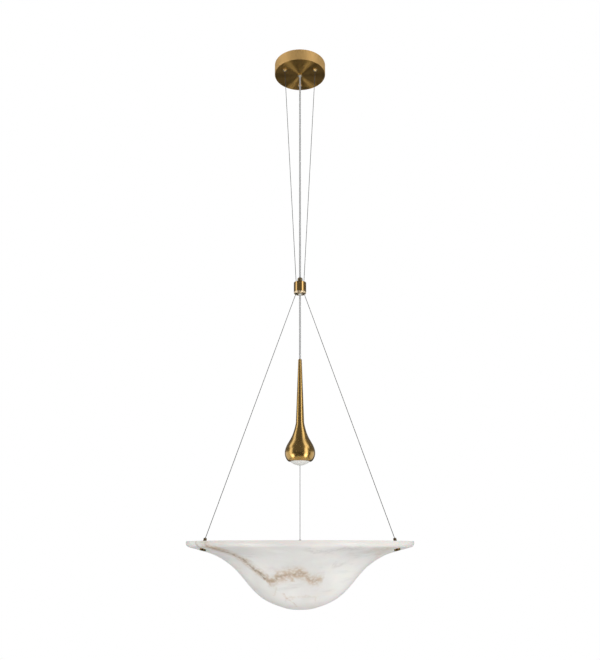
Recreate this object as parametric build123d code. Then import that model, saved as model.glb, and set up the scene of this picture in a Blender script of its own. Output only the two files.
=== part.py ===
from build123d import *

import math
import os

# Ceiling pendant light: a brass canopy, three wire ropes down to a small hub, three more ropes that
# fan out to a marbled bowl, and a drop-shaped lamp that hangs on its own cable inside the fan.
# Millimetres. The origin is the middle of the canopy's top edge, on the ceiling. +Z points up, +X to
# the right and -Y to the front.

# Heights below the ceiling
HUB_DROP = 622.4
LAMP_DROP = 816.4
RIM_DROP = 1232.2

# Ropes and cable
ROPE_DIA = 1.5
CABLE_DIA = 4.5
CORE_DIA = 1.8
ROPE_ANGLES = {"left": 210.0, "right": 330.0, "back": 90.0}

# Clearances that pieces share
FIT_GAP = 0.1
THREAD_GAP = 0.05
SEAT_GAP = 0.3
SWING_GAP = 0.35

# How far a cutting shape runs past the faces that it cuts
OVERCUT = 1.0

# Bent wires: an arc takes this share of the shorter of its two runs
ARC_SHARE = 0.45

# Canopy, a spun cup that is closed at the bottom
CANOPY_DIA = 135.0
CANOPY_HEIGHT = 30.0
CANOPY_WALL = 1.5
CANOPY_EDGE_ROUND = 0.8

# Ceiling bracket, a strap with bent ends
BRACKET_WIDTH = 18.0
BRACKET_THICKNESS = 2.0
BRACKET_DROP = 16.0
BRACKET_BEND = 1.2
SLOT_SPACING = 70.0
SLOT_LENGTH = 14.0
SLOT_WIDTH = 5.0
WIRE_HOLE_DIA = 12.0

# Grub screws that hold the canopy to the bracket
GRUB_DIA = 4.0
GRUB_LENGTH = 8.0
GRUB_DROP = 9.0
GRUB_RECESS = 0.2
GRUB_SOCKET_WIDTH = 2.0
GRUB_SOCKET_DEPTH = 2.0

# Earth screw on the bracket, with its cup washer
EARTH_SCREW_X = 52.0
EARTH_SCREW_DIA = 4.0
EARTH_HEAD_DIA = 8.0
EARTH_HEAD_HEIGHT = 2.6
EARTH_LUG_DIA = 10.0
EARTH_LUG_THICKNESS = 0.8
EARTH_BARREL_WALL = 0.5
EARTH_BARREL_LENGTH = 5.0
EARTH_SLOT_WIDTH = 1.0
EARTH_SLOT_DEPTH = 1.0

# Rope grippers: a body through the canopy floor, with a sprung plunger that lets the rope go
GRIPPER_RADIUS = 46.3
GRIPPER_COLLAR_DIA = 11.5
GRIPPER_COLLAR_HEIGHT = 2.5
GRIPPER_EDGE_ROUND = 0.5
GRIPPER_SHANK_DIA = 8.0
GRIPPER_SHANK_LENGTH = 16.0
GRIPPER_WALL = 1.0
GRIPPER_END_WALL = 1.5
GRIPPER_NUT_WIDTH = 12.0
GRIPPER_NUT_HEIGHT = 4.5
PLUNGER_STEM_DIA = 4.8
PLUNGER_REACH = 3.0
PLUNGER_BORE = 2.8
PLUNGER_EDGE_ROUND = 0.6
PLUNGER_HEAD_LENGTH = 4.5
PLUNGER_STEP_GAP = 0.2
SPRING_WIRE_DIA = 0.5
SPRING_TURNS = 6
ROPE_ENTRY = 3.4
ROPE_SLACK = 3.1
ROPE_TAIL_TOP = 6.0

# Cable gland in the middle of the canopy floor
GLAND_COLLAR_DIA = 12.0
GLAND_COLLAR_HEIGHT = 3.0
GLAND_EDGE_ROUND = 0.6
GLAND_SHANK_DIA = 10.0
GLAND_SHANK_LENGTH = 11.0
GLAND_NUT_WIDTH = 14.0
GLAND_NUT_HEIGHT = 4.0
TOP_BUSH_WALL = 0.65
TOP_BUSH_LENGTH = 8.0
TOP_BUSH_REACH = 1.8
TOP_BUSH_PLAY = 0.5
SWING_BELOW_CANOPY = 4.5

# Driver, on a foam pad on the canopy floor
DRIVER_LENGTH = 62.0
DRIVER_WIDTH = 26.0
DRIVER_HEIGHT = 17.0
DRIVER_Y = -38.0
DRIVER_WALL = 1.6
DRIVER_LID_HEIGHT = 3.0
DRIVER_CORNER = 2.0
PAD_THICKNESS = 1.0
PAD_MARGIN = 3.0
OUTPUT_PITCH = 3.2
DRIVER_HOLE_RISE = 10.5

# Terminal block, three ways
TERMINAL_X = 30.0
TERMINAL_Y = 20.0
TERMINAL_PITCH = 7.0
TERMINAL_DEPTH = 16.0
TERMINAL_HEIGHT = 12.0
TERMINAL_WAYS = 3
TERMINAL_BORE = 2.6
TERMINAL_BORE_RISE = 5.0
TERMINAL_SCREW_DIA = 3.0
TERMINAL_SCREW_LENGTH = 4.0
TERMINAL_SCREW_INSET = 4.0
TERMINAL_SLOT_WIDTH = 0.6
TERMINAL_SLOT_DEPTH = 0.6
TERMINAL_CHAMFER = 1.0

# Wires in the canopy: the straight run at each end, and how a cable core steps over to the driver
WIRE_LEAD = 7.2
WIRE_RISE = 3.6
CORE_SPACING = 2.16
CORE_RUN = 5.6
CORE_STEP = 4.4

# Hub, a turned cup that is closed by a base with a well rounded edge and a spigot up into the cup
HUB_DIA = 30.3
HUB_HEIGHT = 29.9
HUB_WALL = 1.9
HUB_TOP_WALL = 3.0
HUB_TOP_ROUND = 1.0
HUB_ROPE_RADIUS = 10.97
HUB_ROPE_HOLE = 3.0
HUB_BASE_HEIGHT = 5.0
HUB_BASE_ROUND = 4.0
HUB_SPIGOT_HEIGHT = 2.5
FERRULE_DIA = 3.2
FERRULE_LENGTH = 5.0
UPPER_FERRULE_GAP = 0.8

# Neck on the hub, the strain relief of the power cable
NECK_DIA = 12.4
NECK_HEIGHT = 12.5
NECK_TOP_ROUND = 3.0
NECK_STUB_DIA = 8.0
NECK_MOUTH_DEPTH = 5.0
NECK_BORE = 5.6
GRIP_LENGTH = 6.0
GRIP_DIA = 7.0

# Ropes and cable under the hub
FAN_ROPE_RADIUS = 11.2
FAN_ROPE_HOLE = 3.0
LOWER_FERRULE_GAP = 1.4
LOW_BUSH_DIA = 7.4
LOW_BUSH_FLARE_DIA = 8.4
LOW_BUSH_ABOVE = 5.0
LOW_BUSH_BELOW = 3.4
LOW_BUSH_FLARE_GAP = 0.6
LOW_BUSH_BORE = 5.8
LOW_BUSH_PLAY = 0.7
CABLE_JOINT_ABOVE = 5.6
CABLE_JOINT_GAP = 0.4

# Lamp: a tapered neck, a drop-shaped bell and what lights it
LAMP_TOP_DIA = 8.4
LAMP_TOP_ROUND = 0.6
LAMP_NECK_LENGTH = 152.0
LAMP_NECK_END_DIA = 19.2
LAMP_NECK_WALL = 1.0
LAMP_CAP_LENGTH = 10.0
LAMP_SPIGOT_LENGTH = 8.0
LAMP_SPIGOT_DIA = 16.0
LAMP_COLLAR_LENGTH = 12.0
BELL_HEIGHT = 88.5
BELL_DIA = 69.6
BELL_MOUTH_DIA = 45.4
BELL_WALL = 1.5
# Radius and height of the bell's outline between neck and mouth, as shares of its own
BELL_CURVE = ((0.397, 0.198), (0.613, 0.407), (0.842, 0.564), (1.0, 0.758), (0.876, 0.947), (0.77, 0.991))
BELL_START_ANGLE = 11.3
TUBE_DIA = 10.0
TUBE_BORE = 6.0
SINK_BOSS_DIA = 18.0
SINK_BOSS_HEIGHT = 10.0
SINK_HEIGHT = 10.0
SINK_FINS = 16
SINK_FIN_GAP = 2.4
SINK_WEB = 3.0
SINK_ABOVE_MOUTH = 13.7
BOARD_THICKNESS = 1.6
BOARD_MARGIN = 1.0
CHIP_DIA = 20.0
CHIP_THICKNESS = 1.2
BOARD_SCREW_DIA = 2.5
BOARD_SCREW_HEAD_DIA = 4.6
BOARD_SCREW_HEAD_HEIGHT = 1.6
BOARD_SCREW_ROUND = 0.5
BOARD_SCREW_LENGTH = 5.0
BOARD_SCREW_RADIUS = 15.0
LENS_RING_WALL = 1.5
LENS_RING_HEIGHT = 22.0
LENS_BULGE = 8.8
LENS_WALL = 2.0
LENS_SKIRT = 6.0

# Bowl, hung by its flange
BOWL_DIA = 500.0
BOWL_DEPTH = 141.3
LIP_EDGE = 3.6
LIP_ROUND = 9.0
LIP_TOP_ROUND = 1.0
FLANGE_ANGLE = 15.0
FLANGE_END = 0.814
# Radius and depth of the bowl's outline inside its flange, as shares of its own
BOWL_CURVE = ((0.675, 0.269), (0.547, 0.444), (0.456, 0.624), (0.393, 0.740), (0.301, 0.861), (0.140, 0.973))
RIM_WALL = 11.0
BASE_WALL = 8.0

# Rope fittings in the bowl's flange
STUD_INSET = 24.0
STUD_TOP_RISE = 5.6
STUD_TILT = 12.0
STUD_SLEEVE_DIA = 6.8
STUD_EDGE_ROUND = 0.7
STUD_SHANK_DIA = 5.0
STUD_HOLE_DIA = 6.0
STUD_ROPE_DEPTH = 7.0
SEAT_SINK = 0.8
RIM_WASHER_DIA = 12.0
RIM_WASHER_THICKNESS = 1.0
RIM_NUT_DIA = 13.0
RIM_NUT_HEIGHT = 3.4
RIM_NUT_FLOOR = 1.0
RIM_NUT_ROUND = 0.8

# Levels and radii worked out from the sizes
CANOPY_RADIUS = CANOPY_DIA / 2
INSIDE_RADIUS = CANOPY_RADIUS - CANOPY_WALL
UNDERSIDE_Z = -CANOPY_HEIGHT
FLOOR_Z = UNDERSIDE_Z + CANOPY_WALL
COLLAR_Z = UNDERSIDE_Z - GRIPPER_COLLAR_HEIGHT
PLUNGER_TIP_Z = COLLAR_Z - PLUNGER_REACH
SWING_Z = UNDERSIDE_Z - SWING_BELOW_CANOPY
ROPE_TOP_Z = PLUNGER_TIP_Z + ROPE_ENTRY
TAIL_LOW_Z = ROPE_TOP_Z + ROPE_SLACK
GRIPPER_TOP_Z = UNDERSIDE_Z + GRIPPER_SHANK_LENGTH
HUB_TOP_Z = -HUB_DROP
HUB_LOW_Z = HUB_TOP_Z - HUB_HEIGHT
NECK_TOP_Z = HUB_TOP_Z + NECK_HEIGHT
HUB_SEAM_Z = HUB_LOW_Z + HUB_BASE_HEIGHT
SPIGOT_TOP_Z = HUB_SEAM_Z + HUB_SPIGOT_HEIGHT
RIM_Z = -RIM_DROP
LAMP_TOP_Z = -LAMP_DROP
LAMP_SEAM_Z = LAMP_TOP_Z - LAMP_NECK_LENGTH
MOUTH_Z = LAMP_SEAM_Z - BELL_HEIGHT
STUD_TOP_RADIUS = BOWL_DIA / 2 - STUD_INSET
CABLE_RADIUS = CABLE_DIA / 2
ROPE_RADIUS = ROPE_DIA / 2


# General shapes
def rod(radius, low, high, x=0.0, y=0.0):
    """A vertical cylinder between two heights."""
    whole = Cylinder(radius, high - low, align=(Align.CENTER, Align.CENTER, Align.MIN))
    return Pos(x, y, low) * whole


def hexagon(width, low, high, x=0.0, y=0.0):
    """A vertical hexagon bar, width across its flats."""
    outline = RegularPolygon(width / 2, 6, major_radius=False)
    return Pos(x, y, low) * extrude(outline, high - low)


def turned(outline):
    """A solid of revolution about the Z axis from (radius, height) corners."""
    corners = [(radius, 0, height) for radius, height in outline]
    return revolve(Face(Wire.make_polygon(corners, close=True)), Axis.Z)


def spot(radius, angle, height):
    """A point at a radius and an angle round the Z axis."""
    turn = math.radians(angle)
    return Vector(radius * math.cos(turn), radius * math.sin(turn), height)


def bar(start, end, radius):
    """A round bar from one point to another."""
    run = end - start
    place = Plane(origin=start, z_dir=run)
    whole = Cylinder(radius, run.length, align=(Align.CENTER, Align.CENTER, Align.MIN))
    return place * whole


def round_ended_bar(start, end, radius, rounding):
    """A round bar whose far end has a rounded edge."""
    run = end - start
    whole = rod(radius, 0, run.length)
    whole = fillet(whole.edges().group_by(Axis.Z)[-1], rounding)
    return Plane(origin=start, z_dir=run) * whole


def sleeve_bar(start, end, radius, hollow):
    """A sleeve from one point to another, with a through hole."""
    run = (end - start).normalized()
    return bar(start, end, radius) - bar(start - run, end + run, hollow)


def wire_tube(name, route, diameter):
    """A bent wire: straight runs joined by arcs as large as the runs allow."""
    points = [Vector(*point) for point in route]
    radii = []
    for before, corner, after in zip(points, points[1:], points[2:]):
        shorter = min((corner - before).length, (after - corner).length)
        turn = math.radians((corner - before).get_angle(after - corner))
        radii.append(ARC_SHARE * shorter / math.tan(turn / 2))
    path = FilletPolyline(*points, radius=radii)
    section = Plane(origin=path @ 0, z_dir=path % 0) * Circle(diameter / 2)
    solid = sweep(section, path=path)
    expected = math.pi * diameter**2 / 4 * path.length
    bends = [round(radius, 1) for radius in radii]
    print(f"{name}: bend radii {bends}, volume {solid.volume / expected:.4f} of expected")
    return solid


def on_rope(start, end, height):
    """The point of a straight line at a height."""
    share = (height - start.Z) / (end.Z - start.Z)
    return start + (end - start) * share


# Rope lines, each a start and an end
def upper_line(angle):
    """An upper rope's line, from the canopy's swing level to the top of the hub."""
    return spot(GRIPPER_RADIUS, angle, SWING_Z), spot(HUB_ROPE_RADIUS, angle, HUB_TOP_Z)


def fan_line(angle):
    """A lower rope's line, from the hub's underside to the top of its stud."""
    return spot(FAN_ROPE_RADIUS, angle, HUB_LOW_Z), spot(STUD_TOP_RADIUS, angle, RIM_Z + STUD_TOP_RISE)


# Canopy and what is in it
def gripper_places():
    """Name and position of each rope gripper."""
    return {side: spot(GRIPPER_RADIUS, angle, 0) for side, angle in ROPE_ANGLES.items()}


def make_canopy():
    cup = rod(CANOPY_RADIUS, UNDERSIDE_Z, 0)
    cup = fillet(cup.edges().group_by(Axis.Z)[0], CANOPY_EDGE_ROUND)
    cup -= rod(INSIDE_RADIUS, FLOOR_Z, CANOPY_WALL)
    cup -= rod(GLAND_SHANK_DIA / 2 + FIT_GAP, UNDERSIDE_Z - CANOPY_WALL, 0)
    for place in gripper_places().values():
        cup -= rod(GRIPPER_SHANK_DIA / 2 + FIT_GAP, UNDERSIDE_Z - CANOPY_WALL, 0, place.X, place.Y)
    cup -= across_hole(GRUB_DIA / 2 + FIT_GAP, CANOPY_RADIUS, -GRUB_DROP)
    return cup


def across_hole(radius, reach, height):
    """A bar along X, right through, that cuts a pair of side holes."""
    return bar(Vector(-reach - OVERCUT, 0, height), Vector(reach + OVERCUT, 0, height), radius)


def bracket_reach():
    """Half the strap's length, so that its corners clear the canopy wall."""
    return math.sqrt(INSIDE_RADIUS**2 - (BRACKET_WIDTH / 2) ** 2) - SEAT_GAP


def make_bracket():
    reach = bracket_reach()
    top = (Align.CENTER, Align.CENTER, Align.MAX)
    strap = Box(2 * reach, BRACKET_WIDTH, BRACKET_DROP, align=top)
    outer_bends = strap.edges().filter_by(Axis.Y).group_by(Axis.Z)[-1]
    strap = fillet(outer_bends, BRACKET_BEND + BRACKET_THICKNESS)
    inner_length = 2 * (reach - BRACKET_THICKNESS)
    hollow = Box(inner_length, BRACKET_WIDTH * 2, BRACKET_DROP, align=top)
    inner_bends = hollow.edges().filter_by(Axis.Y).group_by(Axis.Z)[-1]
    hollow = fillet(inner_bends, BRACKET_BEND)
    strap -= Pos(0, 0, -BRACKET_THICKNESS) * hollow
    for side in (-1, 1):
        slot = extrude(SlotOverall(SLOT_LENGTH, SLOT_WIDTH), 2 * BRACKET_THICKNESS, both=True)
        strap -= Pos(side * SLOT_SPACING / 2, 0, 0) * slot
    strap -= rod(WIRE_HOLE_DIA / 2, -2 * BRACKET_THICKNESS, BRACKET_THICKNESS)
    strap -= across_hole(GRUB_DIA / 2 + THREAD_GAP, CANOPY_RADIUS, -GRUB_DROP)
    strap -= rod(EARTH_SCREW_DIA / 2 + THREAD_GAP, -2 * BRACKET_THICKNESS, BRACKET_THICKNESS, EARTH_SCREW_X)
    return strap


def make_canopy_screws():
    screws = []
    for side in (-1, 1):
        outer = Vector(side * (CANOPY_RADIUS - GRUB_RECESS), 0, -GRUB_DROP)
        inward = Vector(-side, 0, 0)
        screw = bar(outer, outer + inward * GRUB_LENGTH, GRUB_DIA / 2)
        socket = extrude(RegularPolygon(GRUB_SOCKET_WIDTH / 2, 6, major_radius=False), GRUB_SOCKET_DEPTH)
        screws.append(screw - Plane(origin=outer, z_dir=inward) * socket)
    return screws


def make_earth_screw():
    lug_low = -BRACKET_THICKNESS - EARTH_LUG_THICKNESS
    head_low = lug_low - EARTH_HEAD_HEIGHT
    screw = rod(EARTH_SCREW_DIA / 2, lug_low, 0, EARTH_SCREW_X)
    screw += rod(EARTH_HEAD_DIA / 2, head_low, lug_low, EARTH_SCREW_X)
    slot = Box(EARTH_HEAD_DIA * 2, EARTH_SLOT_WIDTH, EARTH_SLOT_DEPTH * 2)
    return screw - Pos(EARTH_SCREW_X, 0, head_low) * slot


def make_earth_wire():
    """A ring lug under the earth screw, its crimped barrel and the wire to the terminal block."""
    lug_top = -BRACKET_THICKNESS
    lug_low = lug_top - EARTH_LUG_THICKNESS
    lug = rod(EARTH_LUG_DIA / 2, lug_low, lug_top, EARTH_SCREW_X)
    lug -= rod(EARTH_SCREW_DIA / 2 + FIT_GAP, lug_low - OVERCUT, lug_top + OVERCUT, EARTH_SCREW_X)
    barrel_radius = CORE_DIA / 2 + EARTH_BARREL_WALL
    barrel_z = lug_top - FIT_GAP - barrel_radius
    near = Vector(EARTH_SCREW_X, EARTH_HEAD_DIA / 2 + FIT_GAP, barrel_z)
    knee = near + Vector(0, EARTH_BARREL_LENGTH + CORE_DIA, 0)
    lug += bar(near, near + Vector(0, EARTH_BARREL_LENGTH, 0), barrel_radius)
    end_x = TERMINAL_X + TERMINAL_PITCH
    end = Vector(end_x, terminal_face(1) - TERMINAL_DEPTH / 3, terminal_bore_z())
    out = Vector(end_x, terminal_face(1) + WIRE_LEAD, end.Z)
    high = Vector((knee.X + out.X) / 2, out.Y + WIRE_RISE, (knee.Z + out.Z) / 2)
    start = near + Vector(0, EARTH_BARREL_LENGTH / 2, 0)
    return lug + wire_tube("earth_wire", (start, knee, high, out, end), CORE_DIA)


def make_gripper(place):
    shank_radius = GRIPPER_SHANK_DIA / 2
    body = rod(shank_radius, UNDERSIDE_Z, GRIPPER_TOP_Z)
    collar = rod(GRIPPER_COLLAR_DIA / 2, COLLAR_Z, UNDERSIDE_Z)
    body += fillet(collar.edges().group_by(Axis.Z)[0], GRIPPER_EDGE_ROUND)
    bore_low = COLLAR_Z + GRIPPER_END_WALL
    body -= rod(shank_radius - GRIPPER_WALL, bore_low, GRIPPER_TOP_Z - GRIPPER_END_WALL)
    body -= rod(PLUNGER_STEM_DIA / 2 + FIT_GAP, COLLAR_Z - OVERCUT, bore_low + OVERCUT)
    body -= rod(ROPE_RADIUS + SWING_GAP, bore_low, GRIPPER_TOP_Z + OVERCUT)
    return Pos(place.X, place.Y, 0) * body


def plunger_levels():
    """Underside and top of the plunger's head."""
    head_low = COLLAR_Z + GRIPPER_END_WALL + PLUNGER_STEP_GAP
    return head_low, head_low + PLUNGER_HEAD_LENGTH


def make_plunger(place):
    head_low, head_top = plunger_levels()
    stem = rod(PLUNGER_STEM_DIA / 2, PLUNGER_TIP_Z, head_low)
    stem = fillet(stem.edges().group_by(Axis.Z)[0], PLUNGER_EDGE_ROUND)
    plunger = stem + rod(GRIPPER_SHANK_DIA / 2 - GRIPPER_WALL - FIT_GAP, head_low, head_top)
    plunger -= rod(PLUNGER_BORE / 2, PLUNGER_TIP_Z - OVERCUT, TAIL_LOW_Z + SEAT_GAP)
    plunger -= rod(ROPE_RADIUS + FIT_GAP, TAIL_LOW_Z, head_top + OVERCUT)
    return Pos(place.X, place.Y, 0) * plunger


def make_spring(place):
    """The coil spring between a plunger's head and the top of its gripper."""
    low = plunger_levels()[1] + SPRING_WIRE_DIA / 2 + FIT_GAP
    high = GRIPPER_TOP_Z - GRIPPER_END_WALL - SPRING_WIRE_DIA / 2 - FIT_GAP
    radius = GRIPPER_SHANK_DIA / 2 - GRIPPER_WALL - SPRING_WIRE_DIA / 2 - 2 * FIT_GAP
    path = Helix((high - low) / SPRING_TURNS, high - low, radius)
    section = Plane(origin=path @ 0, z_dir=path % 0) * Circle(SPRING_WIRE_DIA / 2)
    return Pos(place.X, place.Y, low) * sweep(section, path=path, is_frenet=True)


def make_gripper_nut(place):
    top = FLOOR_Z + GRIPPER_NUT_HEIGHT
    nut = hexagon(GRIPPER_NUT_WIDTH, FLOOR_Z, top, place.X, place.Y)
    return nut - rod(GRIPPER_SHANK_DIA / 2 + THREAD_GAP, FLOOR_Z - OVERCUT, top + OVERCUT, place.X, place.Y)


def make_rope_tail(place):
    return rod(ROPE_RADIUS, TAIL_LOW_Z, -ROPE_TAIL_TOP, place.X, place.Y)


def top_bush_radius():
    return CABLE_RADIUS + SWING_GAP + TOP_BUSH_WALL


def make_gland():
    collar_low = UNDERSIDE_Z - GLAND_COLLAR_HEIGHT
    collar = rod(GLAND_COLLAR_DIA / 2, collar_low, UNDERSIDE_Z)
    gland = fillet(collar.edges().group_by(Axis.Z)[0], GLAND_EDGE_ROUND)
    gland += rod(GLAND_SHANK_DIA / 2, UNDERSIDE_Z, UNDERSIDE_Z + GLAND_SHANK_LENGTH)
    return gland - rod(top_bush_radius() + TOP_BUSH_PLAY, collar_low - OVERCUT, 0)


def make_gland_nut():
    top = FLOOR_Z + GLAND_NUT_HEIGHT
    nut = hexagon(GLAND_NUT_WIDTH, FLOOR_Z, top)
    return nut - rod(GLAND_SHANK_DIA / 2 + THREAD_GAP, FLOOR_Z - OVERCUT, top + OVERCUT)


def top_bush_low():
    return UNDERSIDE_Z - GLAND_COLLAR_HEIGHT - TOP_BUSH_REACH


def make_top_bush():
    low = top_bush_low()
    bush = rod(top_bush_radius(), low, low + TOP_BUSH_LENGTH)
    return bush - rod(CABLE_RADIUS + SWING_GAP, low - OVERCUT, 0)


def cable_top():
    """Height at which the hanging cable starts, inside the gland."""
    return top_bush_low() + TOP_BUSH_LENGTH - CABLE_JOINT_GAP


def make_cable_tail():
    return rod(CABLE_RADIUS, cable_top() + CABLE_JOINT_GAP, sheath_end())


def sheath_end():
    """Height at which the cable's sheath is cut, above the gland."""
    return UNDERSIDE_Z + GLAND_SHANK_LENGTH + CABLE_RADIUS


def driver_levels():
    """Underside of the case, joint with the lid and top of the lid."""
    low = FLOOR_Z + PAD_THICKNESS
    return low, low + DRIVER_HEIGHT - DRIVER_LID_HEIGHT, low + DRIVER_HEIGHT


def driver_block(length, width, low, high):
    block = Box(length, width, high - low, align=(Align.CENTER, Align.CENTER, Align.MIN))
    block = fillet(block.edges().filter_by(Axis.Z), DRIVER_CORNER)
    return Pos(0, DRIVER_Y, low) * block


def driver_face():
    """The driver's long side that looks to the middle of the canopy."""
    return DRIVER_Y + DRIVER_WIDTH / 2


def driver_wires():
    """X of each wire where it meets the driver: two outputs, then live and neutral."""
    return -OUTPUT_PITCH / 2, OUTPUT_PITCH / 2, mains_x(0), mains_x(1)


def mains_x(way):
    return TERMINAL_X - TERMINAL_PITCH * (1 - way)


def driver_hole_z():
    return driver_levels()[0] + DRIVER_HOLE_RISE


def make_driver_case():
    low, joint, _ = driver_levels()
    case = driver_block(DRIVER_LENGTH, DRIVER_WIDTH, low, joint)
    inner_length = DRIVER_LENGTH - 2 * DRIVER_WALL
    inner_width = DRIVER_WIDTH - 2 * DRIVER_WALL
    case -= driver_block(inner_length, inner_width, low + DRIVER_WALL, joint + DRIVER_WALL)
    for x in driver_wires():
        start = Vector(x, driver_face() - 2 * DRIVER_WALL, driver_hole_z())
        end = Vector(x, driver_face() + DRIVER_WALL, driver_hole_z())
        case -= bar(start, end, CORE_DIA / 2 + FIT_GAP)
    return case


def make_driver_lid():
    _, joint, top = driver_levels()
    lid = driver_block(DRIVER_LENGTH, DRIVER_WIDTH, joint, top)
    lip_length = DRIVER_LENGTH - 2 * DRIVER_WALL - 2 * FIT_GAP
    lip_width = DRIVER_WIDTH - 2 * DRIVER_WALL - 2 * FIT_GAP
    return lid + driver_block(lip_length, lip_width, joint - DRIVER_WALL, joint)


def make_driver_pad():
    length = DRIVER_LENGTH - 2 * PAD_MARGIN
    width = DRIVER_WIDTH - 2 * PAD_MARGIN
    return driver_block(length, width, FLOOR_Z, FLOOR_Z + PAD_THICKNESS)


def make_output_cores():
    """Two cores of the power cable, from its cut sheath over and down to the driver."""
    sheath_top = sheath_end()
    high_z = sheath_top + CORE_RUN + CORE_STEP
    hole_z = driver_hole_z()
    end_y = driver_face() - DRIVER_WALL / 2
    cores = []
    for side in (-1, 1):
        start_x = side * CORE_SPACING / 2
        end_x = side * OUTPUT_PITCH / 2
        route = (
            (start_x, 0, sheath_top),
            (start_x, 0, sheath_top + CORE_RUN),
            (end_x, -CORE_STEP, high_z),
            (end_x, end_y + CORE_RUN + high_z - hole_z, high_z),
            (end_x, end_y + CORE_RUN, hole_z),
            (end_x, end_y, hole_z),
        )
        cores.append(wire_tube("output_cores", route, CORE_DIA))
    return cores


def terminal_face(side):
    """The terminal block's back (+1) or front (-1) face."""
    return TERMINAL_Y + side * TERMINAL_DEPTH / 2


def terminal_bore_z():
    return FLOOR_Z + TERMINAL_BORE_RISE


def terminal_ways():
    return [TERMINAL_X + TERMINAL_PITCH * (way - (TERMINAL_WAYS - 1) / 2) for way in range(TERMINAL_WAYS)]


def terminal_screw_places():
    inset = TERMINAL_DEPTH / 2 - TERMINAL_SCREW_INSET
    return [(x, TERMINAL_Y + side * inset) for x in terminal_ways() for side in (-1, 1)]


def make_terminal_block():
    width = TERMINAL_PITCH * TERMINAL_WAYS
    low = (Align.CENTER, Align.CENTER, Align.MIN)
    block = Pos(TERMINAL_X, TERMINAL_Y, FLOOR_Z) * Box(width, TERMINAL_DEPTH, TERMINAL_HEIGHT, align=low)
    block = chamfer(block.edges().group_by(Axis.Z)[-1], TERMINAL_CHAMFER)
    top = FLOOR_Z + TERMINAL_HEIGHT
    for x in terminal_ways():
        start = Vector(x, terminal_face(-1) - OVERCUT, terminal_bore_z())
        end = Vector(x, terminal_face(1) + OVERCUT, terminal_bore_z())
        block -= bar(start, end, TERMINAL_BORE / 2)
    for x, y in terminal_screw_places():
        block -= rod(TERMINAL_SCREW_DIA / 2 + FIT_GAP, terminal_bore_z(), top + OVERCUT, x, y)
    return block


def make_terminal_screws():
    """Screws that clamp the wires, their heads sunk in the block."""
    low = terminal_bore_z() + CORE_DIA / 2
    screws = []
    for x, y in terminal_screw_places():
        screw = rod(TERMINAL_SCREW_DIA / 2, low, low + TERMINAL_SCREW_LENGTH, x, y)
        slot = Box(TERMINAL_SCREW_DIA * 2, TERMINAL_SLOT_WIDTH, TERMINAL_SLOT_DEPTH * 2)
        screws.append(screw - Pos(x, y, low + TERMINAL_SCREW_LENGTH) * slot)
    return screws


def make_mains_wire(name, way):
    """A lead from one way of the terminal block to the driver."""
    x = mains_x(way)
    start = (x, terminal_face(-1) + TERMINAL_DEPTH / 3, terminal_bore_z())
    out = (x, terminal_face(-1) - WIRE_LEAD, terminal_bore_z())
    middle_y = (terminal_face(-1) + driver_face()) / 2
    arch = (x + CORE_DIA, middle_y, driver_hole_z() + WIRE_RISE)
    back = (x, driver_face() + WIRE_LEAD, driver_hole_z())
    end = (x, driver_face() - DRIVER_WALL / 2, driver_hole_z())
    return wire_tube(name, (start, out, arch, back, end), CORE_DIA)


# Upper ropes, cable and hub
def make_upper_rope(angle):
    start, end = upper_line(angle)
    low = upper_ferrule_low()
    return bar(on_rope(start, end, ROPE_TOP_Z), on_rope(start, end, low + THREAD_GAP), ROPE_RADIUS)


def upper_ferrule_low():
    return HUB_TOP_Z - HUB_TOP_WALL - UPPER_FERRULE_GAP - FERRULE_LENGTH


def make_upper_ferrule(angle):
    start, end = upper_line(angle)
    low = on_rope(start, end, upper_ferrule_low())
    high = on_rope(start, end, upper_ferrule_low() + FERRULE_LENGTH)
    return sleeve_bar(high, low, FERRULE_DIA / 2, ROPE_RADIUS + THREAD_GAP)


def hub_cable_top():
    return NECK_TOP_Z - NECK_MOUTH_DEPTH


def make_upper_cable():
    return rod(CABLE_RADIUS, hub_cable_top() + CABLE_JOINT_GAP, cable_top())


def hub_bore():
    return HUB_DIA / 2 - HUB_WALL


def make_hub_body():
    hub = rod(HUB_DIA / 2, HUB_SEAM_Z, HUB_TOP_Z)
    hub = fillet(hub.edges().group_by(Axis.Z)[-1], HUB_TOP_ROUND)
    hub -= rod(hub_bore(), HUB_SEAM_Z - OVERCUT, HUB_TOP_Z - HUB_TOP_WALL)
    hub -= rod(NECK_STUB_DIA / 2 + THREAD_GAP, HUB_SEAM_Z, HUB_TOP_Z + OVERCUT)
    for angle in ROPE_ANGLES.values():
        start, end = upper_line(angle)
        high = on_rope(start, end, HUB_TOP_Z + OVERCUT)
        low = on_rope(start, end, HUB_TOP_Z - HUB_TOP_WALL - OVERCUT)
        hub -= bar(high, low, HUB_ROPE_HOLE / 2)
    return hub


def make_hub_neck():
    neck = rod(NECK_DIA / 2, HUB_TOP_Z, NECK_TOP_Z)
    neck = fillet(neck.edges().group_by(Axis.Z)[-1], NECK_TOP_ROUND)
    neck += rod(NECK_STUB_DIA / 2, HUB_TOP_Z - HUB_TOP_WALL, HUB_TOP_Z)
    neck -= rod(NECK_BORE / 2, HUB_TOP_Z - HUB_TOP_WALL - OVERCUT, NECK_TOP_Z + OVERCUT)
    grip_top = grip_levels()[1]
    return neck - rod(GRIP_DIA / 2 + FIT_GAP, HUB_TOP_Z - HUB_TOP_WALL - OVERCUT, grip_top + FIT_GAP)


def grip_levels():
    """Low and high end of the nylon grip inside the neck."""
    low = HUB_TOP_Z - HUB_TOP_WALL
    return low, low + GRIP_LENGTH


def make_neck_grip():
    low, high = grip_levels()
    return rod(GRIP_DIA / 2, low, high) - rod(CABLE_RADIUS + THREAD_GAP, low - OVERCUT, high + OVERCUT)


def lamp_cable_top():
    return HUB_LOW_Z + CABLE_JOINT_ABOVE


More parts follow.
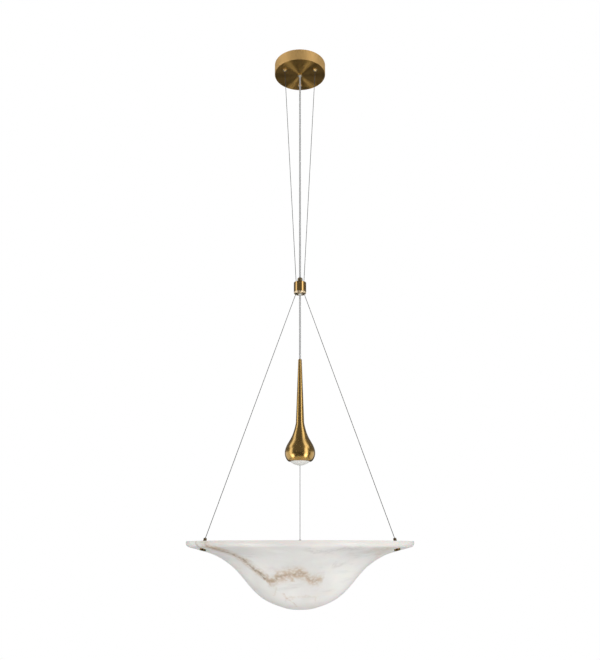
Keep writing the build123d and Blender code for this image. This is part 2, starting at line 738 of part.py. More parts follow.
def make_hub_cable():
    """The stretch of the power cable inside the hub."""
    return rod(CABLE_RADIUS, lamp_cable_top() + CABLE_JOINT_GAP, hub_cable_top())


def make_hub_base():
    base = rod(HUB_DIA / 2, HUB_LOW_Z, HUB_SEAM_Z)
    base = fillet(base.edges().group_by(Axis.Z)[0], HUB_BASE_ROUND)
    base += rod(hub_bore() - THREAD_GAP, HUB_SEAM_Z, SPIGOT_TOP_Z)
    base -= rod(LOW_BUSH_DIA / 2 + LOW_BUSH_PLAY, HUB_LOW_Z - OVERCUT, SPIGOT_TOP_Z + OVERCUT)
    for angle in ROPE_ANGLES.values():
        start, end = fan_line(angle)
        high = on_rope(start, end, SPIGOT_TOP_Z + OVERCUT)
        low = on_rope(start, end, HUB_LOW_Z - OVERCUT)
        base -= bar(high, low, FAN_ROPE_HOLE / 2)
    return base


# Ropes, fittings and bowl
def fan_ferrule_ends(angle):
    """Low and high end of the crimp on a lower rope, inside the hub."""
    start, end = fan_line(angle)
    up = (start - end).normalized()
    low = on_rope(start, end, SPIGOT_TOP_Z + LOWER_FERRULE_GAP)
    return low, low + up * FERRULE_LENGTH


def make_fan_ferrule(angle):
    low, high = fan_ferrule_ends(angle)
    return sleeve_bar(low, high, FERRULE_DIA / 2, ROPE_RADIUS + THREAD_GAP)


def make_fan_rope(angle):
    _, high = fan_ferrule_ends(angle)
    _, stud_top = fan_line(angle)
    down = (stud_top - high).normalized()
    return bar(high + down * THREAD_GAP, stud_top + down * STUD_ROPE_DEPTH, ROPE_RADIUS)


def lip_end():
    """Radius and depth where the round under the lip meets the flange."""
    turn = math.radians(90 - FLANGE_ANGLE)
    radius = BOWL_DIA / 2 - LIP_ROUND + LIP_ROUND * math.cos(turn)
    return radius, LIP_EDGE + LIP_ROUND * math.sin(turn)


def flange_depth(radius):
    """Depth of the flange's underside at a radius."""
    end_radius, end_depth = lip_end()
    return end_depth + (end_radius - radius) * math.tan(math.radians(FLANGE_ANGLE))


def bowl_outer():
    """Outline of the bowl's outside from the flange's inner end to the bottom."""
    radius = FLANGE_END * BOWL_DIA / 2
    points = [(radius, -flange_depth(radius))]
    points += [(share * BOWL_DIA / 2, -drop * BOWL_DEPTH) for share, drop in BOWL_CURVE]
    return points + [(0.0, -BOWL_DEPTH)]


def bowl_inner():
    """The same outline moved in by the wall, which thins towards the bottom."""
    outer = bowl_outer()
    slope = math.radians(FLANGE_ANGLE)
    inner = [(outer[0][0] - RIM_WALL * math.sin(slope), outer[0][1] + RIM_WALL * math.cos(slope))]
    for before, here, after in zip(outer, outer[1:], outer[2:]):
        run = Vector(after[0] - before[0], after[1] - before[1]).normalized()
        share = here[1] / -BOWL_DEPTH
        wall = RIM_WALL + (BASE_WALL - RIM_WALL) * share
        inner.append((here[0] + run.Y * wall, here[1] - run.X * wall))
    return inner + [(0.0, -BOWL_DEPTH + BASE_WALL)]


def bowl_point(pair):
    return Vector(pair[0], 0, RIM_Z + pair[1])


def make_bowl():
    slope = math.radians(FLANGE_ANGLE)
    inward = Vector(-math.cos(slope), 0, -math.sin(slope))
    flat = Vector(-1, 0, 0)
    rim_radius = BOWL_DIA / 2
    lip_radius, lip_depth = lip_end()
    outer = [bowl_point(pair) for pair in bowl_outer()]
    inner = [bowl_point(pair) for pair in bowl_inner()]
    under_lip = bowl_point((lip_radius, -lip_depth))
    edge_low = bowl_point((rim_radius, -LIP_EDGE))
    edge_top = bowl_point((rim_radius, -LIP_TOP_ROUND))
    crown = bowl_point((rim_radius - LIP_TOP_ROUND, 0))
    land_radius = inner[0].X + (RIM_Z - inner[0].Z) / math.tan(slope)
    land = bowl_point((min(land_radius, rim_radius - LIP_TOP_ROUND - FIT_GAP), 0))
    outline = [
        Spline(*outer, tangents=(inward, flat)),
        Line(outer[-1], inner[-1]),
        Spline(*reversed(inner), tangents=(-flat, -inward)),
        Line(inner[0], land),
        Line(land, crown),
        TangentArc(crown, edge_top, tangent=-flat),
        Line(edge_top, edge_low),
        TangentArc(edge_low, under_lip, tangent=Vector(0, 0, -1)),
        Line(under_lip, outer[0]),
    ]
    bowl = revolve(Face(Wire(outline)), Axis.Z)
    for angle in ROPE_ANGLES.values():
        top, through, below = stud_levels(angle)
        axis = stud_axis(angle)
        bowl -= bar(top - axis * BOWL_DEPTH, through, RIM_WASHER_DIA / 2 + FIT_GAP)
        bowl -= bar(below, below + axis * BOWL_DEPTH, RIM_NUT_DIA / 2 + FIT_GAP)
        bowl -= bar(top, below + axis * BOWL_DEPTH, STUD_HOLE_DIA / 2)
    return bowl


def stud_axis(angle):
    """Direction of a stud, down and a little outwards."""
    tilt = math.radians(STUD_TILT)
    out = spot(math.sin(tilt), angle, 0)
    return Vector(out.X, out.Y, -math.cos(tilt))


def stud_crossing(wall):
    """How far along its axis a stud meets a face that lies a wall above the flange's underside."""
    tilt = math.radians(STUD_TILT)
    slope = math.radians(FLANGE_ANGLE)
    drop = STUD_TOP_RISE + flange_depth(STUD_TOP_RADIUS) - wall / math.cos(slope)
    return drop / (math.cos(tilt) + math.sin(tilt) * math.tan(slope))


def stud_levels(angle):
    """Top of a stud, and where its spot faces, square to it, lie on both sides of the flange."""
    top = spot(STUD_TOP_RADIUS, angle, RIM_Z + STUD_TOP_RISE)
    axis = stud_axis(angle)
    upper_seat = top + axis * (stud_crossing(RIM_WALL) + SEAT_SINK)
    lower_seat = top + axis * (stud_crossing(0) - SEAT_SINK)
    return top, upper_seat, lower_seat


def make_rim_stud(angle):
    top, upper_seat, lower_seat = stud_levels(angle)
    axis = stud_axis(angle)
    shoulder = upper_seat - axis * RIM_WASHER_THICKNESS
    end = lower_seat + axis * (RIM_WASHER_THICKNESS + RIM_NUT_HEIGHT - RIM_NUT_FLOOR)
    stud = round_ended_bar(shoulder, top, STUD_SLEEVE_DIA / 2, STUD_EDGE_ROUND)
    stud += bar(shoulder, end, STUD_SHANK_DIA / 2)
    start, rope_end = fan_line(angle)
    down = (rope_end - start).normalized()
    depth = STUD_ROPE_DEPTH + THREAD_GAP
    return stud - bar(rope_end - down * STUD_SLEEVE_DIA, rope_end + down * depth, ROPE_RADIUS + THREAD_GAP)


def make_rim_washers(angle):
    _, upper_seat, lower_seat = stud_levels(angle)
    axis = stud_axis(angle)
    step = axis * RIM_WASHER_THICKNESS
    hole = STUD_SHANK_DIA / 2 + FIT_GAP
    upper = sleeve_bar(upper_seat - step, upper_seat, RIM_WASHER_DIA / 2, hole)
    lower = sleeve_bar(lower_seat, lower_seat + step, RIM_WASHER_DIA / 2, hole)
    return [upper, lower]


def make_rim_nut(angle):
    _, _, lower_seat = stud_levels(angle)
    axis = stud_axis(angle)
    face = lower_seat + axis * RIM_WASHER_THICKNESS
    nut = round_ended_bar(face, face + axis * RIM_NUT_HEIGHT, RIM_NUT_DIA / 2, RIM_NUT_ROUND)
    bore_end = face + axis * (RIM_NUT_HEIGHT - RIM_NUT_FLOOR + THREAD_GAP)
    return nut - bar(face - axis, bore_end, STUD_SHANK_DIA / 2 + THREAD_GAP)


# Lamp and its cable
def make_cable_bush():
    """The flared bush that the lamp's cable leaves the hub through."""
    top = HUB_LOW_Z + LOW_BUSH_ABOVE
    low = HUB_LOW_Z - LOW_BUSH_BELOW
    flare_top = HUB_LOW_Z - LOW_BUSH_FLARE_GAP
    outline = [
        (LOW_BUSH_BORE / 2, top),
        (LOW_BUSH_DIA / 2, top),
        (LOW_BUSH_DIA / 2, flare_top),
        (LOW_BUSH_FLARE_DIA / 2, flare_top),
        (LOW_BUSH_FLARE_DIA / 2, (flare_top + low) / 2),
        (LOW_BUSH_DIA / 2, low),
        (LOW_BUSH_BORE / 2, low),
    ]
    return turned(outline)


def sink_top():
    return MOUTH_Z + SINK_ABOVE_MOUTH + SINK_HEIGHT


def make_lamp_cable():
    return rod(CABLE_RADIUS, sink_top() - SINK_HEIGHT + FIT_GAP, lamp_cable_top())


def cable_hole():
    return CABLE_RADIUS + SEAT_GAP


def cap_radius():
    return LAMP_TOP_DIA / 2 - LAMP_NECK_WALL - THREAD_GAP


def make_lamp_cap():
    """The plug in the top of the neck that the cable goes in through."""
    low = LAMP_TOP_Z - LAMP_CAP_LENGTH
    return rod(cap_radius(), low, LAMP_TOP_Z) - rod(cable_hole(), low - OVERCUT, LAMP_TOP_Z + OVERCUT)


def make_lamp_neck():
    top_radius = LAMP_TOP_DIA / 2
    end_radius = LAMP_NECK_END_DIA / 2
    collar_top = LAMP_SEAM_Z + LAMP_COLLAR_LENGTH
    taper = (end_radius - top_radius) / LAMP_NECK_LENGTH
    collar_radius = end_radius - taper * LAMP_COLLAR_LENGTH - LAMP_NECK_WALL
    spigot_low = LAMP_SEAM_Z - LAMP_SPIGOT_LENGTH
    tube_hole = TUBE_DIA / 2 + THREAD_GAP
    cap_low = LAMP_TOP_Z - LAMP_CAP_LENGTH
    outline = [
        (top_radius - LAMP_NECK_WALL, LAMP_TOP_Z),
        (top_radius - LAMP_TOP_ROUND, LAMP_TOP_Z),
        (top_radius, LAMP_TOP_Z - LAMP_TOP_ROUND),
        (end_radius, LAMP_SEAM_Z),
        (LAMP_SPIGOT_DIA / 2, LAMP_SEAM_Z),
        (LAMP_SPIGOT_DIA / 2, spigot_low),
        (tube_hole, spigot_low),
        (tube_hole, collar_top),
        (collar_radius, collar_top),
        (top_radius - LAMP_NECK_WALL, cap_low),
    ]
    return turned(outline)


def bell_outer():
    """Outline of the bell's outside from its seam to its mouth, as (radius, height)."""
    points = [(LAMP_NECK_END_DIA / 2, LAMP_SEAM_Z)]
    points += [(share * BELL_DIA / 2, LAMP_SEAM_Z - drop * BELL_HEIGHT) for share, drop in BELL_CURVE]
    return points + [(BELL_MOUTH_DIA / 2, MOUTH_Z)]


def make_bell():
    outer = bell_outer()
    inner = []
    for before, here, after in zip(outer, outer[1:], outer[2:]):
        run = Vector(after[0] - before[0], after[1] - before[1]).normalized()
        inner.append((here[0] + run.Y * BELL_WALL, here[1] - run.X * BELL_WALL))
    flare = math.tan(math.radians(BELL_START_ANGLE))
    start = Vector(flare, 0, -1)
    socket = LAMP_SPIGOT_DIA / 2 + FIT_GAP
    socket_low = LAMP_SEAM_Z - LAMP_SPIGOT_LENGTH - FIT_GAP
    mouth_in = Vector(-1, 0, -flare)
    outer_points = [Vector(radius, 0, height) for radius, height in outer]
    inner_points = [Vector(radius, 0, height) for radius, height in inner]
    mouth_inside = Vector(BELL_MOUTH_DIA / 2, 0, MOUTH_Z + BELL_WALL)
    step = Vector(socket, 0, socket_low)
    outline = [
        Spline(*outer_points, tangents=(start, mouth_in)),
        Line(outer_points[-1], mouth_inside),
        Spline(mouth_inside, *reversed(inner_points)),
        Line(inner_points[0], step),
        Line(step, Vector(socket, 0, LAMP_SEAM_Z)),
        Line(Vector(socket, 0, LAMP_SEAM_Z), outer_points[0]),
    ]
    return revolve(Face(Wire(outline)), Axis.Z)


def make_lamp_tube():
    """The hollow threaded rod that ties the heat sink to the neck."""
    low = sink_top() - SINK_HEIGHT + SINK_WEB
    high = LAMP_SEAM_Z + LAMP_COLLAR_LENGTH
    return rod(TUBE_DIA / 2, low, high) - rod(TUBE_BORE / 2, low - OVERCUT, high + OVERCUT)


def sink_radius():
    return BELL_MOUTH_DIA / 2 - SEAT_GAP - LENS_RING_WALL - FIT_GAP


def make_heat_sink():
    low = sink_top() - SINK_HEIGHT
    sink = rod(sink_radius(), low, sink_top())
    for fin in range(SINK_FINS):
        gap = Pos(sink_radius(), 0, sink_top()) * Box(
            2 * (sink_radius() - SINK_BOSS_DIA / 2), SINK_FIN_GAP, 2 * (SINK_HEIGHT - SINK_WEB)
        )
        sink -= Rot(0, 0, fin * 360 / SINK_FINS) * gap
    sink += rod(SINK_BOSS_DIA / 2, low, sink_top() + SINK_BOSS_HEIGHT)
    sink -= rod(TUBE_DIA / 2 + THREAD_GAP, low + SINK_WEB, sink_top() + SINK_BOSS_HEIGHT + OVERCUT)
    sink -= rod(cable_hole(), low - OVERCUT, low + SINK_WEB + OVERCUT)
    for place in board_screw_places():
        hole_top = low + BOARD_SCREW_LENGTH
        sink -= rod(BOARD_SCREW_DIA / 2 + THREAD_GAP, low - OVERCUT, hole_top, place.X, place.Y)
    return sink


def board_screw_places():
    return [spot(BOARD_SCREW_RADIUS, angle, 0) for angle in ROPE_ANGLES.values()]


def board_levels():
    high = sink_top() - SINK_HEIGHT
    return high - BOARD_THICKNESS, high


def make_led_board():
    low, high = board_levels()
    board = rod(sink_radius() - BOARD_MARGIN, low, high)
    for place in board_screw_places():
        board -= rod(BOARD_SCREW_DIA / 2 + FIT_GAP, low - OVERCUT, high + OVERCUT, place.X, place.Y)
    return board


def make_led_chip():
    low, _ = board_levels()
    return rod(CHIP_DIA / 2, low - CHIP_THICKNESS, low)


def make_board_screws():
    low, high = board_levels()
    screws = []
    for place in board_screw_places():
        head = rod(BOARD_SCREW_HEAD_DIA / 2, low - BOARD_SCREW_HEAD_HEIGHT, low, place.X, place.Y)
        head = fillet(head.edges().group_by(Axis.Z)[0], BOARD_SCREW_ROUND)
        shank_top = high + BOARD_SCREW_LENGTH - BOARD_THICKNESS
        screws.append(head + rod(BOARD_SCREW_DIA / 2, low, shank_top, place.X, place.Y))
    return screws


def make_lens_ring():
    """The ring that grips the heat sink above and the lens below."""
    outer = BELL_MOUTH_DIA / 2 - SEAT_GAP
    high = MOUTH_Z + LENS_RING_HEIGHT
    ring = rod(outer, MOUTH_Z + SEAT_GAP, high)
    return ring - rod(outer - LENS_RING_WALL, MOUTH_Z - OVERCUT, high + OVERCUT)


def make_lens():
    """The milky dome: a spherical cap with a skirt that slides into its ring."""
    radius = BELL_MOUTH_DIA / 2 - SEAT_GAP
    skirt = radius - LENS_RING_WALL - FIT_GAP
    bulge = LENS_BULGE
    low = MOUTH_Z - bulge
    inner = skirt - LENS_WALL
    inner_bulge = bulge - LENS_WALL
    skirt_top = MOUTH_Z + LENS_SKIRT
    middle_share = 0.5
    outer_sphere = (radius**2 + bulge**2) / (2 * bulge)
    inner_sphere = (inner**2 + inner_bulge**2) / (2 * inner_bulge)
    outer_middle = radius * middle_share
    inner_middle = inner * middle_share
    outer_z = low + outer_sphere - math.sqrt(outer_sphere**2 - outer_middle**2)
    inner_z = low + LENS_WALL + inner_sphere - math.sqrt(inner_sphere**2 - inner_middle**2)
    rim = Vector(radius, 0, MOUTH_Z)
    corner = Vector(skirt, 0, MOUTH_Z)
    skirt_out = Vector(skirt, 0, skirt_top)
    skirt_in = Vector(inner, 0, skirt_top)
    inner_corner = Vector(inner, 0, MOUTH_Z)
    outline = [
        ThreePointArc(Vector(0, 0, low), Vector(outer_middle, 0, outer_z), rim),
        Line(rim, corner),
        Line(corner, skirt_out),
        Line(skirt_out, skirt_in),
        Line(skirt_in, inner_corner),
        ThreePointArc(inner_corner, Vector(inner_middle, 0, inner_z), Vector(0, 0, low + LENS_WALL)),
        Line(Vector(0, 0, low + LENS_WALL), Vector(0, 0, low)),
    ]
    return revolve(Face(Wire(outline)), Axis.Z)


# All pieces by name; a list is a group of like pieces
def make_parts():
    places = gripper_places()
    angles = ROPE_ANGLES.items()
    parts = {
        "ceiling_bracket": make_bracket(),
        "canopy": make_canopy(),
        "canopy_screws": make_canopy_screws(),
        "earth_screw": make_earth_screw(),
        "earth_wire": make_earth_wire(),
        "terminal_block": make_terminal_block(),
        "terminal_screws": make_terminal_screws(),
        "live_wire": make_mains_wire("live_wire", 0),
        "neutral_wire": make_mains_wire("neutral_wire", 1),
        "driver_case": make_driver_case(),
        "driver_lid": make_driver_lid(),
        "driver_pad": make_driver_pad(),
        "output_cores": make_output_cores(),
        "cable_tail": make_cable_tail(),
        "cable_gland": make_gland(),
        "gland_nut": make_gland_nut(),
        "top_bush": make_top_bush(),
        "gripper_nuts": [make_gripper_nut(place) for place in places.values()],
        "rope_tails": [make_rope_tail(place) for place in places.values()],
        "upper_cable": make_upper_cable(),
        "upper_ferrules": [make_upper_ferrule(angle) for _, angle in angles],
        "hub_body": make_hub_body(),
        "hub_neck": make_hub_neck(),
        "neck_grip": make_neck_grip(),
        "hub_cable": make_hub_cable(),
        "hub_base": make_hub_base(),
        "lower_ferrules": [make_fan_ferrule(angle) for _, angle in angles],
        "bowl": make_bowl(),
        "rim_studs": [make_rim_stud(angle) for _, angle in angles],
        "rim_washers": [washer for _, angle in angles for washer in make_rim_washers(angle)],
        "rim_nuts": [make_rim_nut(angle) for _, angle in angles],
        "cable_bush": make_cable_bush(),
        "lamp_cable": make_lamp_cable(),
        "lamp_cap": make_lamp_cap(),
        "lamp_neck": make_lamp_neck(),
        "lamp_bell": make_bell(),
        "lamp_tube": make_lamp_tube(),
        "heat_sink": make_heat_sink(),
        "led_board": make_led_board(),
        "led_chip": make_led_chip(),
        "board_screws": make_board_screws(),
        "lens_ring": make_lens_ring(),
        "lens": make_lens(),
    }
    for side, angle in angles:
        parts[f"gripper_{side}"] = make_gripper(places[side])
        parts[f"plunger_{side}"] = make_plunger(places[side])
        parts[f"plunger_spring_{side}"] = make_spring(places[side])
        parts[f"upper_rope_{side}"] = make_upper_rope(angle)
        parts[f"lower_rope_{side}"] = make_fan_rope(angle)
    return parts


os.makedirs("parts", exist_ok=True)
for part_name, shape in make_parts().items():
    if isinstance(shape, list):
        shape = Compound([one.solid() for one in shape])
    export_step(shape, f"parts/{part_name}.step")
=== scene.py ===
import math

import bpy
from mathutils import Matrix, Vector


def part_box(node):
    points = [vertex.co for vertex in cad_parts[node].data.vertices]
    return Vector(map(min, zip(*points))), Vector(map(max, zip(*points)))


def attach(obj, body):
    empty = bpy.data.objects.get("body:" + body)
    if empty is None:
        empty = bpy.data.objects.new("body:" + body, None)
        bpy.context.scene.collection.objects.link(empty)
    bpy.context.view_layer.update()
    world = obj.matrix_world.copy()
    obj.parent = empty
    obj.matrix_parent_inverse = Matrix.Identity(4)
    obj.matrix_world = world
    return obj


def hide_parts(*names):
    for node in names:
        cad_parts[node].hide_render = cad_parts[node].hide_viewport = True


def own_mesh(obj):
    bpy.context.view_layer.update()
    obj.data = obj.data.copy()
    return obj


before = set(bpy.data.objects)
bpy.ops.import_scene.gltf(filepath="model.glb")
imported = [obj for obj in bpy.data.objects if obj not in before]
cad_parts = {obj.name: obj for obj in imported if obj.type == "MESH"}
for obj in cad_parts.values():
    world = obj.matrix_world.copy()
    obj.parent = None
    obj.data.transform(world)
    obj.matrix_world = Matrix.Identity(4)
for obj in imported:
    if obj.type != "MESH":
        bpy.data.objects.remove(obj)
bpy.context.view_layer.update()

# Camera: in front of the light at the height of the bowl's rim, tilted up so that the canopy's
# underside shows. Lens and tilt come from the ellipses of the bowl and the canopy.
mm = 0.001
CAMERA_DISTANCE = 1689.6 * mm
CAMERA_HEIGHT = -1247.5 * mm
CAMERA_TILT = 16.61
CAMERA_LENS = 39.98
camera_data = bpy.data.cameras.new("camera")
camera_data.lens = CAMERA_LENS
camera_data.sensor_width = 36
camera = bpy.data.objects.new("camera", camera_data)
camera.location = (0, -CAMERA_DISTANCE, CAMERA_HEIGHT)
camera.rotation_euler = (math.radians(90 + CAMERA_TILT), 0, 0)
bpy.context.scene.collection.objects.link(camera)
bpy.context.scene.camera = camera
bpy.context.scene.view_settings.view_transform = "Standard"

# Wire ropes: 1.5 mm steel rope, six strands laid round a core. Three run from the canopy to the
# hub, and three fan out from the hub to the bowl. All are pulled tight and cut to length.
ROPE_ANGLES = {"left": 210, "right": 330, "back": 90}
ROPE_DIAMETER = 1.5 * mm
ROPE_LAY = 9 * mm
ROPE_STRANDS = 6
ROPES = {
    "upper_rope": ("upper_suspension", (46.44 * mm, -32.1 * mm), (10.44 * mm, -631.15 * mm)),
    "lower_rope": ("bowl", (6.14 * mm, -638.76 * mm), (228.45 * mm, -1233.16 * mm)),
}
STEEL = (0.16, 0.16, 0.16)
STEEL_DARK = (0.12, 0.12, 0.12)
STEEL_LIGHT = (0.20, 0.20, 0.195)


def around(radius, angle, height):
    """A point at a radius and an angle round the light's own axis."""
    turn = math.radians(angle)
    return Vector((radius * math.cos(turn), radius * math.sin(turn), height))


def node(tree, kind, *sources, named=None, output=0, **settings):
    """Adds a node and gives one of its outputs. A source that is a socket is linked, a value is set."""
    made = tree.nodes.new(kind)
    for name, value in settings.items():
        setattr(made, name, value)
    pairs = list(zip(made.inputs, sources))
    pairs += [(made.inputs[name], source) for name, source in (named or {}).items()]
    for socket, source in pairs:
        if isinstance(source, bpy.types.NodeSocket):
            tree.links.new(source, socket)
        elif source is not None:
            socket.default_value = source
    return made.outputs[output]


def calc(tree, operation, *values):
    """One step of arithmetic on numbers or sockets."""
    return node(tree, "ShaderNodeMath", *values, operation=operation)


def parts_of(tree, vector):
    """The x, y and z of a vector."""
    axes = tree.nodes.new("ShaderNodeSeparateXYZ")
    tree.links.new(vector, axes.inputs[0])
    return axes.outputs


def new_tree(name, kind, inputs, outputs):
    """A node group with named inputs and outputs, and its two end nodes."""
    tree = bpy.data.node_groups.new(name, kind)
    for direction, sockets in (("INPUT", inputs), ("OUTPUT", outputs)):
        for label, socket_kind in sockets.items():
            tree.interface.new_socket(label, in_out=direction, socket_type=socket_kind)
    return tree, tree.nodes.new("NodeGroupInput").outputs, tree.nodes.new("NodeGroupOutput").inputs


def lobed_ring(tree, strands, points, radius):
    """The outline of round strands that touch each other, laid in a ring of this radius."""
    count = calc(tree, "MULTIPLY", strands, points)
    sizes = {"Resolution": count, "Radius": 1.0}
    ring = node(tree, "GeometryNodeCurvePrimitiveCircle", named=sizes, mode="RADIUS")
    place = node(tree, "GeometryNodeInputPosition")
    x, y, _ = parts_of(tree, place)
    half = calc(tree, "DIVIDE", math.pi, strands)
    within = calc(tree, "WRAP", calc(tree, "ARCTAN2", y, x), half, calc(tree, "MULTIPLY", half, -1.0))
    middle = calc(tree, "DIVIDE", 1.0, calc(tree, "ADD", calc(tree, "SINE", half), 1.0))
    strand = calc(tree, "MULTIPLY", calc(tree, "SINE", half), middle)
    offset = calc(tree, "MULTIPLY", calc(tree, "SINE", within), middle)
    rise = calc(tree, "SUBTRACT", calc(tree, "POWER", strand, 2.0), calc(tree, "POWER", offset, 2.0))
    rise = calc(tree, "SQRT", calc(tree, "MAXIMUM", rise, 0.0))
    reach = calc(tree, "MULTIPLY_ADD", calc(tree, "COSINE", within), middle, rise)
    reach = calc(tree, "MULTIPLY", reach, radius)
    lobes = node(tree, "ShaderNodeVectorMath", place, operation="SCALE", named={"Scale": reach})
    return node(tree, "GeometryNodeSetPosition", named={"Geometry": ring, "Position": lobes})


def strand_tree():
    """Twisted strands along a line: a ring of lobes that turns once in each lay."""
    tree, given, result = new_tree(
        "strands along a line",
        "GeometryNodeTree",
        {
            "Line": "NodeSocketGeometry",
            "Radius": "NodeSocketFloat",
            "Lay": "NodeSocketFloat",
            "Strands": "NodeSocketInt",
            "Rings": "NodeSocketInt",
            "Points": "NodeSocketInt",
            "Finish": "NodeSocketMaterial",
        },
        {"Strands": "NodeSocketGeometry"},
    )
    steps = {"Curve": given["Line"], "Length": calc(tree, "DIVIDE", given["Lay"], given["Rings"])}
    line = node(tree, "GeometryNodeResampleCurve", named=steps, mode="LENGTH")
    along = node(tree, "GeometryNodeSplineParameter", output=1)
    turn = calc(tree, "MULTIPLY", calc(tree, "DIVIDE", along, given["Lay"]), math.tau)
    line = node(tree, "GeometryNodeSetCurveTilt", named={"Curve": line, "Tilt": turn})
    ring = lobed_ring(tree, given["Strands"], given["Points"], given["Radius"])
    solid = node(tree, "GeometryNodeCurveToMesh", line, ring, named={"Fill Caps": True})
    solid = node(tree, "GeometryNodeSetShadeSmooth", solid)
    solid = node(tree, "GeometryNodeRealizeInstances", solid)
    solid = node(tree, "GeometryNodeSetMaterial", named={"Geometry": solid, "Material": given["Finish"]})
    tree.links.new(solid, result[0])
    return tree


strands = strand_tree()


def line_curve(name, points):
    """A smooth line with these control points."""
    data = bpy.data.curves.new(name, "CURVE")
    data.dimensions = "3D"
    spline = data.splines.new("NURBS")
    spline.points.add(len(points) - 1)
    for knot, point in zip(spline.points, points):
        knot.co = (*point, 1)
    spline.order_u = 3
    spline.use_endpoint_u = True
    curve = bpy.data.objects.new(name, data)
    bpy.context.scene.collection.objects.link(curve)
    return curve


def final_mesh(source):
    """A plain mesh of what an object looks like with its modifiers."""
    seen = source.evaluated_get(bpy.context.evaluated_depsgraph_get())
    return bpy.data.meshes.new_from_object(seen)


def twisted(name, points, finish, **sizes):
    """Strands that follow a line. Gives the piece and the points of its line."""
    curve = line_curve(name + " line", points)
    path = [vertex.co.copy() for vertex in final_mesh(curve).vertices]
    modifier = curve.modifiers.new("strands", "NODES")
    modifier.node_group = strands
    sizes["Finish"] = finish
    for item in strands.interface.items_tree:
        if item.in_out == "INPUT" and item.name in sizes:
            modifier[item.identifier] = sizes[item.name]
    piece = bpy.data.objects.new(name, final_mesh(curve))
    bpy.context.scene.collection.objects.link(piece)
    bpy.data.objects.remove(curve)
    return piece, path


def new_material(name, colour, roughness, metallic=0.0, **sockets):
    """A material, its tree and its shader, with the values that are the same all over."""
    material = bpy.data.materials.new(name)
    material.use_nodes = True
    tree = material.node_tree
    shader = tree.nodes["Principled BSDF"]
    shader.inputs["Base Color"].default_value = (*colour, 1)
    shader.inputs["Roughness"].default_value = roughness
    shader.inputs["Metallic"].default_value = metallic
    for label, value in sockets.items():
        shader.inputs[label.replace("_", " ")].default_value = value
    return material, tree, shader


def link(tree, source, shader, label):
    """Leads a colour, mask or normal to one of the shader's sockets."""
    tree.links.new(source, shader.inputs[label])


def mixed(tree, amount, first, second):
    """Two colours mixed by an amount. Each is a socket or three numbers."""
    first, second = ((*side, 1) if isinstance(side, tuple) else side for side in (first, second))
    sources = {"Factor": amount, 6: first, 7: second}
    return node(tree, "ShaderNodeMix", named=sources, output=2, data_type="RGBA")


def spread(tree, value, low, high, out_low=0.0, out_high=1.0):
    """A value moved from one range to another, held at the ends."""
    return node(tree, "ShaderNodeMapRange", value, low, high, out_low, out_high)


def noise(tree, place, scale, detail, output=0):
    """Noise at a place: output 0 is a value and output 1 a colour."""
    sources = {"Vector": place, "Scale": scale, "Detail": detail}
    return node(tree, "ShaderNodeTexNoise", named=sources, output=output)


def own_place(tree):
    """Where a point lies on the piece, in metres."""
    return node(tree, "ShaderNodeTexCoord", output=3)


def speckle_group():
    """Uneven colour, such as handling and fine dirt leave on a surface."""
    tree, given, result = new_tree(
        "uneven surface",
        "ShaderNodeTree",
        {"Vector": "NodeSocketVector", "Scale": "NodeSocketFloat", "Contrast": "NodeSocketFloat"},
        {"Mask": "NodeSocketFloat"},
    )
    centred = calc(tree, "SUBTRACT", noise(tree, given[0], given[1], detail=5.0), 0.5)
    mask = calc(tree, "MULTIPLY_ADD", centred, given[2], 0.5)
    tree.links.new(node(tree, "ShaderNodeClamp", mask), result[0])
    return tree


uneven = speckle_group()


def grouped(tree, group, *values):
    """A node group in a material, on the piece's own place, with its other inputs set."""
    made = tree.nodes.new("ShaderNodeGroup")
    made.node_tree = group
    tree.links.new(own_place(tree), made.inputs[0])
    for socket, value in zip(made.inputs[1:], values):
        socket.default_value = value
    return made.outputs[0]


def uneven_mask(tree, scale):
    """Where a surface is lighter or darker, with spots of about 1 / scale metres."""
    contrast = 1.6
    return grouped(tree, uneven, scale, contrast)


def varied(tree, shader, marks, dark, light, smooth, rough):
    """Colour and gloss that change together with the marks."""
    link(tree, mixed(tree, marks, dark, light), shader, "Base Color")
    link(tree, spread(tree, marks, 0, 1, smooth, rough), shader, "Roughness")


rope_steel, tree, shader = new_material("wire rope steel", STEEL, roughness=0.5, metallic=1.0)
varied(tree, shader, uneven_mask(tree, scale=900), STEEL_DARK, STEEL_LIGHT, smooth=0.42, rough=0.58)

for kind, (body, *ends) in ROPES.items():
    for side, angle in ROPE_ANGLES.items():
        start, end = (around(radius, angle, height) for radius, height in ends)
        rope, path = twisted(
            f"{kind}_{side}_strands",
            (start, (start + end) / 2, end),
            rope_steel,
            Radius=ROPE_DIAMETER / 2,
            Lay=ROPE_LAY,
            Strands=ROPE_STRANDS,
            Rings=10,
            Points=4,
        )
        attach(rope, body)
        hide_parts(f"{kind}_{side}")

# Power cable: two white cores twisted together in a clear sheath of 4.5 mm. The upper stretch hangs
# from the gland to the hub, and the lamp's stretch runs from the hub into the lamp.
CABLE_DIAMETER = 4.5 * mm
CORE_DIAMETER = 1.7 * mm
CORE_LAY = 32 * mm
CABLES = {
    "upper_cable": ("upper_suspension", -27.2 * mm, -614.5 * mm),
    "lamp_cable": ("lamp_cable", -646.7 * mm, -1043.1 * mm),
}
SHEATH = (0.60, 0.60, 0.60)
CORE = (0.74, 0.74, 0.73)
CORE_DARK = (0.68, 0.68, 0.67)
CORE_LIGHT = (0.80, 0.80, 0.79)
clear_sheath, tree, shader = new_material(
    "clear cable sheath", SHEATH, roughness=0.25, Transmission_Weight=0.35, IOR=1.45
)
link(tree, spread(tree, uneven_mask(tree, scale=220), 0, 1, 0.20, 0.32), shader, "Roughness")
core_white, tree, shader = new_material("white core insulation", CORE, roughness=0.45)
link(tree, mixed(tree, uneven_mask(tree, scale=300), CORE_DARK, CORE_LIGHT), shader, "Base Color")

